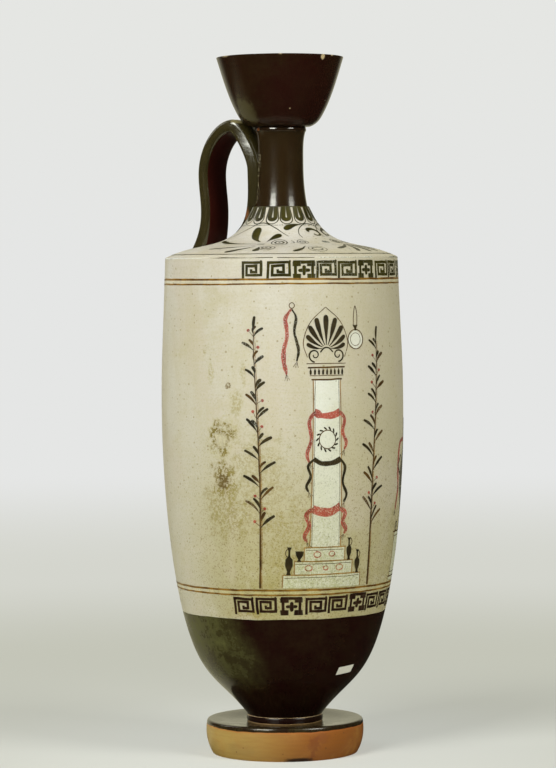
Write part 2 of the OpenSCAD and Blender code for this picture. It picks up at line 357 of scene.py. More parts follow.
def smooth(places):
    """A Catmull-Rom curve through places: fourteen rows to a span, and the last place."""
    p = np.array(places, float)
    p = np.vstack([2 * p[0] - p[1], p, 2 * p[-1] - p[-2]])
    t = np.linspace(0, 1, 14, endpoint=False)[:, None]
    rows = [
        0.5 * (2 * b + (c - a) * t + (2 * a - 5 * b + 4 * c - d) * t**2 + (3 * b - a - 3 * c + d) * t**3)
        for a, b, c, d in zip(p, p[1:], p[2:], p[3:])]
    return np.vstack(rows + [p[-2][None]])


class Painting:
    """Brush strokes gathered into one piece, as thin ribbons over the ground."""

    def __init__(self, canvas, seed, lift=0.0):
        self.canvas, self.lift = canvas, lift
        self.hand = np.random.default_rng(SEED + seed)
        self.points, self.faces, self.uv = [], [], []
        self.count = 0

    def wobble(self, length, grain, size):
        """Smooth noise along a stroke: random knots every grain mm, joined by smooth steps."""
        knots = self.hand.normal(0, size, int(length[-1] / grain) + 3)
        at = length / grain
        k = at.astype(int)
        w = smoothstep(at - k)
        return knots[k] * (1 - w) + knots[k + 1] * w

    def measured(self, path):
        """Millimetres for a degree at each row of path, and its steps and their lengths in mm."""
        scale = self.canvas.per_degree(path[:, 1])
        step = np.diff(path, axis=0)
        step[:, 0] *= (scale[1:] + scale[:-1]) / 2
        return scale, step, np.linalg.norm(step, axis=1)

    def stroke(self, path, width, tone=1.0, square=False, across=4, shake=0.05, lift=0.0):
        """A ribbon along path, whose rows are (angle, s). width is one number or a list spread evenly along
        it, in mm. The ends are round unless square. shake is how much the hand wavers. tone is the strength
        of the paint, and the piece's UV map holds it beside the place across the ribbon, from -1 to 1."""
        path = np.array(path, float)
        keep = np.concatenate([[True], np.linalg.norm(np.diff(path, axis=0), axis=1) > 1e-5])
        path = path[keep]
        scale, step, size = self.measured(path)
        length = np.concatenate([[0], np.cumsum(size)])
        if not square:
            path, length = self.closer_ends(path, length, np.max(width) / 2)
            scale, step, size = self.measured(path)
        unit = step / size[:, None]
        left = np.column_stack([-unit[:, 1], unit[:, 0]])
        before, after = np.vstack([left[:1], left]), np.vstack([left, left[-1:]])
        mitre = before + after
        mitre /= np.linalg.norm(mitre, axis=1)[:, None]
        mitre /= np.maximum((mitre * after).sum(1), 0.5)[:, None]
        share = length / length[-1]
        half = np.interp(share, np.linspace(0, 1, np.size(width)), np.atleast_1d(width)) / 2
        half = half * (1 + self.wobble(length, WIDTH_WAVE, shake))
        if not square:
            near = np.minimum(length, length[-1] - length) / np.maximum(half, 1e-3)
            half = half * np.sqrt(np.maximum(1 - (1 - np.minimum(near, 1)) ** 2, 0.0004))
        drift = self.wobble(length, COURSE_WAVE, shake * 1.2)
        offset = np.linspace(-1, 1, across + 1)
        reach = half[:, None] * offset + drift[:, None]
        a = path[:, :1] + mitre[:, :1] * reach / scale[:, None]
        s = path[:, 1:] + mitre[:, 1:] * reach
        film = FILM + lift + self.lift + OVERLAP * (len(self.points) % 6)
        self.points.append(self.canvas.lay(a, s, film).reshape(-1, 3))
        n, m = reach.shape
        corner = self.count + (np.arange(n - 1)[:, None] * m + np.arange(m - 1)).ravel()
        self.faces += np.column_stack([corner, corner + m, corner + m + 1, corner + 1]).tolist()
        across_uv = np.broadcast_to(offset, (n, m))
        self.uv.append(np.stack([np.full((n, m), tone), across_uv], axis=-1).reshape(-1, 2))
        self.count += n * m

    def closer_ends(self, path, length, half):
        """Rows near both ends are added, so that they can be drawn round."""
        near = half * np.array([0, 0.03, 0.12, 0.28, 0.5, 0.75, 1.0])
        near = near[near < length[-1] / 2]
        at = np.unique(np.concatenate([length, near, length[-1] - near]))
        at = at[np.concatenate([[True], np.diff(at) > 1e-3])]
        return np.column_stack([np.interp(at, length, path[:, 0]), np.interp(at, length, path[:, 1])]), at

    def leaf(self, base, end, width, bend=0.0, fat=0.75, tone=1.0):
        """A leaf from its thin base to its round end, widest at fat of its length. Its middle is bent to its
        left by bend mm."""
        base, end = np.array(base, float), np.array(end, float)
        scale = float(self.canvas.per_degree((base[1] + end[1]) / 2))
        run = (end - base) * [scale, 1]
        side = np.array([-run[1], run[0]]) / np.linalg.norm(run)
        t = np.linspace(0, 1, 22)[:, None]
        path = base + (end - base) * t + 4 * bend * t * (1 - t) * side / [scale, 1]
        t = t[:, 0]
        growing, ending = 0.16 + 0.84 * smoothstep(t / fat), 1 - 0.15 * smoothstep((t - fat) / (1 - fat))
        self.stroke(path, width * np.where(t < fat, growing, ending), tone)

    def oval(self, centre, half_wide, half_high, width, tone=1.0):
        """A drawn loop: (half_wide cos t, half_high sin t) round its centre."""
        t = np.linspace(0, 2 * math.pi, 41) + 0.7
        scale = float(self.canvas.per_degree(centre[1]))
        loop = np.column_stack([half_wide / scale * np.cos(t), half_high * np.sin(t)])
        self.stroke(np.array(centre) + loop, width, tone)

    def dot(self, centre, size, tone=1.0):
        """A short stroke as wide as it is long, which its round ends make a spot."""
        scale = float(self.canvas.per_degree(centre[1]))
        half = size / 2 / scale
        self.stroke([[centre[0] + x, centre[1]] for x in (-half, 0, half)], size, tone)

    def eye(self, centre, half_wide, half_high, width=0.55, tone=1.0):
        """A loop with a smaller loop and a dot in it."""
        self.oval(centre, half_wide, half_high, width, tone)
        self.oval(centre, half_wide * 0.52, half_high * 0.5, width * 1.7, tone)
        self.dot(centre, half_wide * 0.34, tone)

    def place(self, name, slot="white_ground"):
        """All the strokes as one piece."""
        return put(name, np.vstack(self.points), self.faces, slot, uv=np.vstack(self.uv), sharp_deg=180)


def legs(corners, longest):
    """A path through corners with points between them, no further apart than longest in its own units."""
    rows = []
    for p, q in zip(corners, corners[1:]):
        n = max(1, int(np.ceil(np.linalg.norm(np.subtract(q, p)) / longest)))
        rows.append(np.array(p) + (np.array(q) - p) * np.arange(n)[:, None] / n)
    return np.vstack(rows + [np.array(corners[-1])[None]])


def straight(at, *places):
    """A path in straight legs through places, each given as what at takes."""
    return legs([at(*place) for place in places], 2.0)


def curved(at, *places):
    """A smooth path through places, each given as what at takes."""
    return smooth([at(*place) for place in places])


def upright(at, x, low, high, n):
    """A path straight up from low to high."""
    return [at(x, z) for z in np.linspace(low, high, n)]


def key_band(name, start, low, high, pitch, count, pen, gap, seed, tones):
    """A running key pattern between two heights: two spiral squares and then a chequer square with a cross,
    over and over. Each is pitch degrees from the last, gap of them left bare. A place in a square is its
    share of the width and of the height, and p and q are half the pen's width as such shares."""
    paint = Painting(wall, seed)
    floor_s, tall = float(wall.up(low)), float(wall.up(high) - wall.up(low))
    scale = float(wall.per_degree(floor_s + tall / 2))
    left = start
    for i in range(count):
        size = (pitch - gap) * (1 + paint.hand.normal(0, 0.05))
        step_up = paint.hand.normal(0, 0.15)
        tone = tones[i % len(tones)]

        def draw(width, *places, **brush):
            spots = [[left + u * size, floor_s + step_up + v * tall] for u, v in places]
            paint.stroke(legs(spots, 1.6), width, tone, **brush)

        p = pen / tall / 2
        q = pen / (size * scale) / 2
        lean = paint.hand.normal(0, 0.012)
        if i % 3 < 2:
            draw(pen, (q, -0.02), (q + lean, 1 - p), (1 - q, 1 - p + lean), (1 - q, 0.10 + p),
                 (0.235, 0.10 + p), (0.235, 0.735), (0.70, 0.735 + lean), (0.70, 0.365), (0.47, 0.365),
                 (0.46, 0.53), square=True, shake=0.07)
            draw(pen * 0.8, (1 - q, 0.9), (1 - q + lean, 1.06))
        else:
            block, arm = 0.38, pen * 1.3
            for u, side in ((block / 2 - 0.01, 2 * q), (1.01 - block / 2, 1 - 2 * q)):
                for v, tail in ((0.84, 0), (0.13, -0.05)):
                    draw(block * size * scale, (u, v - 0.14 + tail), (u, v + 0.13), square=True, across=6)
                draw(pen * 1.1, (side, -0.02), (side, 0.98), square=True)
            draw(pen * 1.15, (0.02, 0.95), (0.98, 0.95 + lean), square=True)
            draw(arm, (0.5, 0.16), (0.5, 0.76), shake=0.08)
            draw(arm, (0.24, 0.46), (0.77, 0.46 + lean), shake=0.08)
        left += pitch * (1 + paint.hand.normal(0, 0.03))
    return paint.place(name)


def ring(paint, s, width, start=-180, end=180, tone=1.0, shake=0.05):
    """A line round the pot from start to end degrees, which sways a little as the wheel turns."""
    a = np.linspace(start, end, int((end - start) / 1.5) + 2)
    sway = 0.06 * np.sin(np.radians(a) * 2 + s) + 0.04 * np.sin(np.radians(a) * 5)
    paint.stroke(np.column_stack([a, s + sway]), width, tone, square=True, shake=shake)


def make_lines():
    """Pairs of fine brown lines beside the key bands, gold between them, and two lines on the shoulder's
    edge, the lower of them in stretches of unlike strength."""
    paint = Painting(wall, 2, lift=0.02)
    for z, width, tone in ((259.3, 1.1, 1.0), (256.9, 0.85, 0.9), (94.3, 1.1, 1.0), (91.9, 0.9, 0.95)):
        ring(paint, float(wall.up(z)), width, tone=tone)
    brown = paint.place("brown_lines")
    gold = Painting(wall, 8)
    for z, width in ((258.1, 2.4), (93.1, 2.2)):
        ring(gold, float(wall.up(z)), width, shake=0.1)
    edge = Painting(shoulder, 3)
    ring(edge, float(shoulder.up(272.75)), 0.85)
    for start, end, tone in (
            (-150, -100, 0.35), (-96, -62, 0.8), (-60, -42, 0.95), (-40, -8, 0.5), (8, 150, 0.6)):
        ring(edge, float(shoulder.up(270.55)), 0.8, start, end, tone, shake=0.12)
    return brown, gold.place("golden_bands"), edge.place("shoulder_edge_lines")


def make_joint_lines():
    """Thin lines left bare over and under the fillet, and the crackled edge where the strap is luted on."""
    bare = Painting(joint, 6)
    ring(bare, 3.9, 0.42, tone=0.7)
    ring(bare, 0.3, 0.6, tone=1.0)
    crackle = Painting(neck, 7)
    top, low = float(neck.up(330.0)), float(neck.up(300.0))
    path = [[-127.0 + 0.8 * math.sin(u * 9), low + (top - low) * u] for u in np.linspace(0, 1, 40)]
    crackle.stroke(path, [1.5, 2.9, 2.5, 3.1, 1.4], shake=0.5)
    return bare.place("bare_lines", "black_glaze"), crackle.place("luted_edge", "black_glaze")


def make_tag():
    """A small blank paper tag stuck on the glaze: a grid of places on the wall, leaning a little."""
    columns, rows = 13, 7
    u, v = np.meshgrid(np.linspace(0, 1, columns), np.linspace(0, 1, rows))
    a = (-18.2 + 15.2 * u) * (1 - v) + (-19.2 + 14.4 * u) * v + 1.2 * v
    z = 45.9 + 0.7 * u + v * 4.4
    points = wall.lay(a, wall.up(z), 0.12).reshape(-1, 3)
    corner = (np.arange(rows - 1)[:, None] * columns + np.arange(columns - 1)).ravel()
    faces = np.column_stack([corner, corner + 1, corner + columns + 1, corner + columns]).tolist()
    return put("paper_tag", points, faces, "white_ground")


def make_tongues():
    """Tongues round the neck's foot: each a dark U with a light core inside a thin outline."""
    paint = Painting(shoulder, 4)
    top = float(shoulder.s[-1]) - 0.2
    pitch = 24.6
    for k in range(-6, 7):
        middle = k * pitch + paint.hand.normal(0, 0.9)
        strength = 0.85 + 0.15 * paint.hand.random()
        for half_deg, bottom, width, tone in (
                (5.1, top - 8.0, 2.5, strength), (10.3, top - 10.9, 0.6, 0.85)):
            t = np.linspace(0, math.pi, 17)
            low = bottom + half_deg * float(shoulder.per_degree(bottom))
            bend = np.column_stack([middle - half_deg * np.cos(t), low - (low - bottom) * np.sin(t)])
            ends = [[middle - half_deg * 0.82, top]], [[middle + half_deg * 0.82, top]]
            paint.stroke(np.vstack([ends[0], bend, ends[1]]), width, tone, square=True, across=6)
    ring(paint, top - 11.8, 0.35, -158, 158, 0.7)
    ring(paint, top - 0.1, 0.7, tone=0.9)
    return paint.place("neck_tongues")


def make_shoulder_ornament():
    """Palmettes and tendrils, the same on both sides of the front, with a palmette between them."""
    paint = Painting(shoulder, 5)
    for side in (1, -1):
        def at(a, s):
            return [side * a, s]

        heart = at(-73.5, 24.0)
        for end, base, width, bend in (
                ((-91.0, 45.4), (-76.0, 29.6), 5.6, 1.6), ((-58.2, 39.6), (-70.8, 30.4), 4.2, 0.8),
                ((-128, 32.3), (-77.5, 25.2), 2.9, 1.6), ((-107, 13.5), (-76.5, 21.5), 2.0, 0.8),
                ((-90, 7.4), (-75.5, 18.6), 2.9, 0.7), ((-73.5, 8.6), (-72.5, 17.2), 3.8, 0.8)):
            paint.leaf(at(*base), at(*end), width, bend * side, tone=0.97)
        for lift in (0.0, 1.7):
            t = np.radians(np.linspace(20, 160, 9))
            arc = np.column_stack([heart[0] + 2.9 * np.cos(t), heart[1] - 1.6 + lift + 1.5 * np.sin(t)])
            paint.stroke(arc, 0.6, 0.95)
        paint.stroke(curved(at, (-131, 35.8), (-112, 43.2), (-88, 48.3), (-66, 44.8), (-49, 37.4)),
                     [0.35, 0.55, 0.6, 0.5, 0.35], 0.9)
        paint.eye(at(-59.5, 28.0), 4.3, 5.4, 0.65)
        paint.eye(at(-67.2, 15.2), 4.6, 4.2, 0.5, 0.95)
        paint.stroke(curved(at, (-48.6, 31.8), (-47.0, 29.6), (-47.6, 27.2), (-50.0, 27.4)), 0.5, 0.8)
        paint.eye(at(-39.2, 29.2), 2.9, 3.8, 0.42, 0.75)
        paint.oval(at(-36.2, 12.7), 4.9, 5.0, 0.42, 0.8)
        paint.oval(at(-36.2, 12.7), 2.9, 2.7, 0.75, 0.85)
        paint.leaf(at(-42.6, 17.4), at(-51.5, 8.2), 3.0, 0.9 * side)
        paint.stroke(curved(at, (-44.5, 15.4), (-42.0, 18.2), (-39.2, 18.0)), 0.4, 0.75)
        paint.leaf(at(-28.0, 47.2), at(-54.0, 43.6), 3.6, -1.0 * side)
        paint.stroke(curved(at, (-35.0, 35.9), (-36.5, 40.0), (-33.0, 44.3), (-20.5, 47.6), (-4.0, 46.8),
                            (4.0, 42.0), (2.8, 36.6)), [0.35, 0.5, 0.55, 0.55, 0.5, 0.4], 0.85)
        paint.stroke(curved(at, (-20.5, 41.4), (-21.3, 43.4), (-13.8, 44.0), (-7.0, 42.8), (-4.6, 40.8),
                            (-6.8, 39.0), (-12.5, 38.6), (-15.6, 40.0)),
                     [1.0, 2.6, 2.0, 1.6, 1.8, 1.4, 1.0, 1.8], 0.95)
        paint.dot(at(-15.8, 29.4), 4.4, 0.66)
        paint.stroke(curved(at, (-17.0, 24.0), (-12.5, 16.0), (-15.5, 9.5)), [0.3, 0.5, 0.35], 0.55)
        for end, width in ((at(-21.5, 13.5), 3.0), (at(-10.5, 8.4), 2.8)):
            paint.leaf(at(-2.2, 24.5), end, width, 0.8 * side, tone=0.95)
    paint.leaf([0, 24.5], [0, 7.6], 3.4)
    paint.eye([0, 30.2], 3.4, 3.6, 0.5)
    return paint.place("shoulder_ornament")


def field_at(centre):
    """A way to give places on the wall as mm to the right of a centre line and mm of height."""
    def at(x, z):
        s = float(wall.up(z))
        return [centre + x / float(wall.per_degree(s)), s]
    return at


def curl(at, x, z, size, turns, sense):
    """A spiral round (x, z) that starts below it and shrinks evenly to a fifth of its size."""
    t = np.linspace(0, 1, 34)
    r = size * (1 - 0.8 * t)
    a = np.radians(270) + sense * turns * 2 * math.pi * t
    return [at(x + u * math.cos(v), z + u * math.sin(v)) for u, v in zip(r, a)]


def sapling(ink, at, low, high, sway, seed, reach=11.5):
    """A slender laurel: a stem that sways as a sine, pairs of narrow leaves on alternate sides, which get
    shorter upwards, and a few berries."""
    hand = np.random.default_rng(SEED + seed)
    z = np.linspace(low, high, 40)
    x = sway * np.sin((z - low) / (high - low) * 4.2) + hand.normal(0, 0.3)
    ink["line"].stroke([at(u, v) for u, v in zip(x, z)], [1.25, 0.95, 0.7, 0.45], 0.92)
    ink["wash"].stroke([at(u + 0.8, v) for u, v in zip(x, z)], [0.8, 0.6, 0.4], 0.7)
    side = 1
    for up in np.arange(low + 34, high, 7.2):
        stem = float(np.interp(up, z, x))
        fade = 1 - 0.45 * (up - low) / (high - low)
        for k, (mean_deg, spread_deg, share) in enumerate(((34, 7, 1.0), (62, 6, 0.8))):
            rise = math.radians(hand.normal(mean_deg, spread_deg))
            long = reach * fade * hand.uniform(0.85, 1.15) * share
            end = at(stem + side * long * math.cos(rise), up + long * math.sin(rise))
            paint = ink["black"] if hand.random() < 0.75 else ink["line"]
            width, bend, tone = hand.uniform(1.4, 1.9), side * hand.normal(0.7, 0.2), hand.uniform(0.72, 1.0)
            paint.leaf(at(stem, up - 1.5 + 2 * k), end, width, bend, 0.62, tone)
        if hand.random() < 0.6:
            berry = (stem - side * hand.uniform(2.0, 4.0), up + hand.uniform(0.5, 3.0))
            ink["line"].stroke([at(stem, up - 1), at(stem - side * 1.0, up + 0.2), at(*berry)], 0.3, 0.7)
            ink["red"].dot(at(*berry), 1.7, 0.85)
        side = -side
    ink["black"].leaf(at(float(x[-1]), high - 1), at(float(x[-1]) + 0.6, high + 8), 1.7, 0.3, 0.6, 0.9)


def sash(ink, paint, path, widths, tone):
    """A hanging ribbon with a dark edge line and a fringe of three threads at its end."""
    paint.stroke(path, widths, tone, across=6, shake=0.1)
    ink["line"].stroke(path + [0.0, 0.25], 0.28, 0.75)
    end, way = path[-1], path[-1] - path[-6]
    way = way / np.linalg.norm(way)
    for turn in (-0.35, 0.0, 0.35):
        spread = np.array([way[0] * math.cos(turn) - way[1] * math.sin(turn),
                           way[0] * math.sin(turn) + way[1] * math.cos(turn)])
        ink["line"].stroke([end, end + 1.6 * spread, end + 3.4 * spread], 0.3, 0.7)


def small_vase(ink, at, x, low, tall, widths, handle=0.0):
    """A vase in silhouette: a stroke straight up whose width is the vase's own, with an ear on one side."""
    ink["black"].stroke(upright(at, x, low, low + tall, 24), widths, 0.95, square=True, across=6, shake=0.03)
    if handle:
        r = abs(handle)
        mid = low + tall * 0.8
        ear = [at(x + math.copysign(0.5 + r * math.sin(u), handle), mid + 1.5 * r * math.cos(u))
               for u in np.linspace(0, math.pi, 14)]
        ink["line"].stroke(ear, 0.45, 0.9)


SLAB_Z, SLAB_TALL = 117.2, 88.8  # where the slab stands on its steps, and its height


def draw_steps(ink, at):
    """Three steps, each a white block with a golden outline and a thin line under its edge."""
    for half, low, high in ((22.5, 95.6, 102.6), (16.6, 102.6, 109.8), (11.6, 109.8, SLAB_Z)):
        ink["white"].stroke(upright(at, 0, low, high, 6), 2 * half, 0.60, square=True, across=22, shake=0)
        ink["wash"].stroke(straight(at, (-half - 0.4, high), (half + 0.4, high)), 0.75, 0.95)
        for x in (-half, half):
            ink["wash"].stroke(straight(at, (x, low), (x, high)), 0.6, 0.9)
        ink["line"].stroke(straight(at, (-half + 0.8, high - 1.5), (half - 0.9, high - 1.4)), 0.32, 0.72)


def draw_shaft(ink, at):
    """The slab, a little narrower above, with mouldings and a row of tongues on its top."""
    ink["white"].stroke(upright(at, 0, SLAB_Z, SLAB_Z + SLAB_TALL, 44), [17.6, 15.2], 0.66, square=True,
                        across=16, shake=0)
    rise = np.linspace(0, 1, 44)
    for side in (-1, 1):
        ink["wash"].stroke([at(side * (8.8 - 1.2 * u), SLAB_Z + SLAB_TALL * u) for u in rise], 0.7, 0.95)
        ink["line"].stroke([at(side * (7.8 - 1.1 * u), SLAB_Z + SLAB_TALL * u) for u in rise], 0.3, 0.74)
    for half, z, width, tone in (
            (8.7, 206.2, 0.85, 1.0), (9.6, 208.3, 0.4, 0.8),
            (10.6, 212.6, 0.85, 1.0), (11.2, 214.6, 0.4, 0.85)):
        ink["line"].stroke(straight(at, (-half, z), (half, z + 0.15)), width, tone)
    for k in range(-4, 5):
        ink["black"].leaf(at(2.25 * k, 212.3), at(2.25 * k, 208.8), 1.25, 0.0, 0.5, 0.9)


def draw_crown(ink, at):
    """A palmette on the slab: two curls, a pointed outline and nine leaves spread as a fan."""
    for side in (-1, 1):
        ink["black"].stroke(curl(at, side * 6.6, 219.2, 3.6, 1.3, side), [0.8, 0.9, 0.7, 0.6], 0.95)
        outline = [(side * x, z) for x, z in ((10.6, 218.0), (12.6, 226.0), (8.6, 236.5), (0, 244.5))]
        ink["line"].stroke(curved(at, *outline), [0.35, 0.5, 0.35], 0.8)
    heart = curved(at, (-3.6, 220.6), (-1.8, 222.6), (0, 223.2), (1.8, 222.6), (3.6, 220.6))
    ink["black"].stroke(heart, 0.8, 0.95)
    for deg in range(-72, 73, 18):
        long = 10.6 + 8.0 * math.cos(math.radians(deg)) ** 2
        run = (math.sin(math.radians(deg)), math.cos(math.radians(deg)))
        base, end = [at(reach * run[0], 221.8 + reach * run[1]) for reach in (2.6, long)]
        ink["black"].leaf(base, end, 2.1 + 0.7 * run[1], -0.9 * run[0], 0.8, 0.95)


def draw_sashes(ink, at):
    """Sashes tied round the slab: each a band across it, and an end that hangs down at each side."""
    for key, z, wide, tone, drops in (
            ("red", 188.0, 3.4, 0.76, (26, 19)), ("black", 163.0, 2.6, 0.85, (16, 22)),
            ("red", 137.0, 4.2, 0.72, (17, 13))):
        half = 8.4 - (z - 117) / SLAB_TALL * 1.1
        band = curved(at, (-half, z + 1.0), (-3.0, z - 0.9), (3.0, z - 0.8), (half, z + 1.4))
        ink[key].stroke(band, wide, tone, square=True, across=6, shake=0.12)
        for side, drop in zip((-1, 1), drops):
            x = side * (half + 0.4)
            path = curved(at, (x - side * 0.8, z + 1.2), (x + side * 2.2, z - 0.15 * drop),
                          (x + side * 0.9, z - 0.5 * drop), (x + side * 3.2, z - 0.8 * drop),
                          (x + side * 2.0, z - drop))
            sash(ink, ink[key], path, [wide * 0.5, wide * 0.62, wide * 0.5, wide * 0.6, 1.2], tone)


def draw_wreath(ink, at):
    """A ring on the slab with fourteen leaves, each leaning round it."""
    ink["line"].oval(at(0.0, 174.6), 4.6, 4.9, 0.5, 0.85)
    for k in range(14):
        u = math.radians(k * 360 / 14 + 12)
        base = at(4.6 * math.cos(u), 174.6 + 4.9 * math.sin(u))
        end = at(6.4 * math.cos(u + 0.35), 174.6 + 6.8 * math.sin(u + 0.35))
        ink["black"].leaf(base, end, 0.95, 0.0, 0.55, 0.85)


def draw_gifts(ink, at):
    """Small vases and fruit on the steps."""
    jug = (2.6, 1.2, 2.4, 3.5, 3.7, 3.6, 1.0, 0.9, 1.0, 2.3)  # its widths from below, when it is 13 mm tall
    for x, low, tall, handle in (
            (-19.6, 102.6, 15.0, -1.5), (14.2, 109.8, 12.0, 1.3), (20.0, 102.6, 12.5, 1.3)):
        small_vase(ink, at, x, low, tall, [w * tall / 13 for w in jug], handle)
    small_vase(ink, at, -14.2, 109.8, 5.6, [2.6, 1.0, 2.6, 4.0, 4.6, 4.9])
    for x, z, size in (
            (-4.5, 113.4, 1.9), (3.8, 113.6, 1.6), (-9.0, 106.2, 1.8), (8.5, 106.2, 2.0), (0.5, 106.0, 1.4)):
        ink["red"].oval(at(x, z), size, size * 0.8, 0.7, 0.62)


def draw_slab(ink):
    """A tall slab on three steps, crowned by a palmette, tied round with sashes, with vases on its steps."""
    at = field_at(-37.0)
    for draw in (draw_steps, draw_shaft, draw_crown, draw_sashes, draw_wreath, draw_gifts):
        draw(ink, at)


def draw_beside(ink):
    """Saplings on both sides of the slab, and things hung up between them."""
    sapling(ink, field_at(-70.0), 95.4, 232.0, 1.6, 31)
    sapling(ink, field_at(-9.0), 95.4, 226.0, -1.9, 32, reach=12.5)
    sapling(ink, field_at(66.0), 95.4, 230.0, 1.7, 33)
    at = field_at(-53.5)
    path = curved(at, (0.0, 243.5), (-3.4, 238.0), (-2.4, 229.0), (-4.4, 220.0), (-3.0, 209.0))
    sash(ink, ink["red"], path, [1.2, 2.3, 2.0, 2.5, 1.4], 0.74)
    path = curved(at, (0.3, 243.5), (2.4, 239.0), (1.4, 231.0), (3.6, 223.0), (2.6, 216.0))
    sash(ink, ink["black"], path, [1.1, 1.6, 1.4, 1.7, 1.1], 0.78)
    ink["line"].oval(at(0.2, 245.4), 1.4, 1.5, 0.45, 0.9)
    at = field_at(-21.5)
    cord = curved(at, (-1.0, 234.6), (-0.5, 241.0), (0.6, 244.8), (1.6, 240.0), (1.4, 234.6))
    ink["line"].stroke(cord, 0.4, 0.8)
    ink["white"].stroke(upright(at, 0.2, 222.0, 232.0, 16), [2.0, 8.6, 9.4, 8.0, 2.6], 0.7, across=8, shake=0)
    ink["line"].oval(at(0.2, 227.2), 4.9, 5.2, 0.5, 0.9)
    ink["line"].oval(at(0.2, 227.2), 3.3, 3.4, 0.35, 0.7)
    ink["black"].stroke([at(0.2, 231.8), at(0.2, 233.2), at(0.2, 234.8)], [1.4, 1.6, 3.4], 0.9, square=True)


def draw_altar(ink):
    """A low altar with a large footed jar on it, and ribbons hung up beside it, for the far side."""
    at = field_at(30.0)
    white, wash, line, black, red = (ink[k] for k in ("white", "wash", "line", "black", "red"))
    white.stroke(upright(at, 0, 95.6, 122.0, 14), 31.0, 0.6, square=True, across=20, shake=0)
    for half, z, width in ((17.5, 97.6, 0.8), (16.4, 100.0, 0.4), (16.2, 119.6, 0.4), (17.6, 122.0, 0.9)):
        line.stroke(straight(at, (-half, z), (half, z)), width, 0.9)
    for side in (-1, 1):
        wash.stroke(straight(at, (side * 15.4, 97.6), (side * 15.4, 122.0)), 0.7, 0.95)
        black.stroke(curl(at, side * 12.6, 125.2, 3.0, 1.2, side), [0.9, 0.8, 0.6], 0.9)
    garland = [at(4 * math.sin(u), 108.0 + 6.0 * math.cos(u)) for u in np.linspace(-1.4, 1.4, 16)]
    red.stroke(garland, 2.4, 0.6)
    jar = [9.6, 5.0, 6.5, 12.0, 18.5, 23.0, 25.4, 26.0, 24.6, 20.0, 12.0, 8.6, 8.0, 9.0, 12.6]
    black.stroke(upright(at, 0, 123.0, 183.0, 50), jar, 0.92, square=True, across=14, shake=0.01)
    for side in (-1, 1):
        ear = curved(at, (side * 12.2, 152.0), (side * 17.0, 158.0), (side * 12.4, 163.6))
        black.stroke(ear, 1.3, 0.95)
    for z, half in ((146.0, 10.6), (166.0, 8.4)):
        line.stroke(straight(at, (-half, z), (half, z)), 0.4, 0.5, lift=0.03)
    for places in (((-5.5, 172.0), (-15.0, 170.0), (-18.0, 158.0), (-16.0, 146.0), (-18.5, 134.0)),
                   ((5.5, 172.0), (14.0, 171.0), (18.5, 160.0), (16.5, 149.0), (19.0, 139.0))):
        sash(ink, red, curved(at, *places), [2.0, 2.8, 2.4, 2.8, 1.6], 0.74)
    at = field_at(48.0)
    line.oval(at(0.0, 241.4), 1.3, 1.4, 0.45, 0.9)
    for paint, tone, places in (
            (black, 0.8, ((0.0, 239.8), (-2.4, 232.0), (-0.8, 224.0), (-3.0, 212.0))),
            (red, 0.74, ((0.2, 239.8), (2.8, 234.0), (2.0, 227.0), (4.2, 219.0)))):
        sash(ink, paint, curved(at, *places), [1.2, 2.0, 1.8, 1.2], tone)


def make_field():
    """The picture on the wall, one piece for each paint."""
    ink = {key: Painting(wall, 20 + k, lift) for k, (key, lift) in enumerate(LIFTS.items())}
    for draw in (draw_slab, draw_beside, draw_altar):
        draw(ink)
    return {key: paint.place("field_" + key) for key, paint in ink.items()}


# Materials

def linear(r, g, b):
    """A colour given as 0 to 255 on screen, as linear light with alpha."""
    def one(v):
        v /= 255
        return v / 12.92 if v <= 0.04045 else ((v + 0.055) / 1.055) ** 2.4
    return (one(r), one(g), one(b), 1.0)


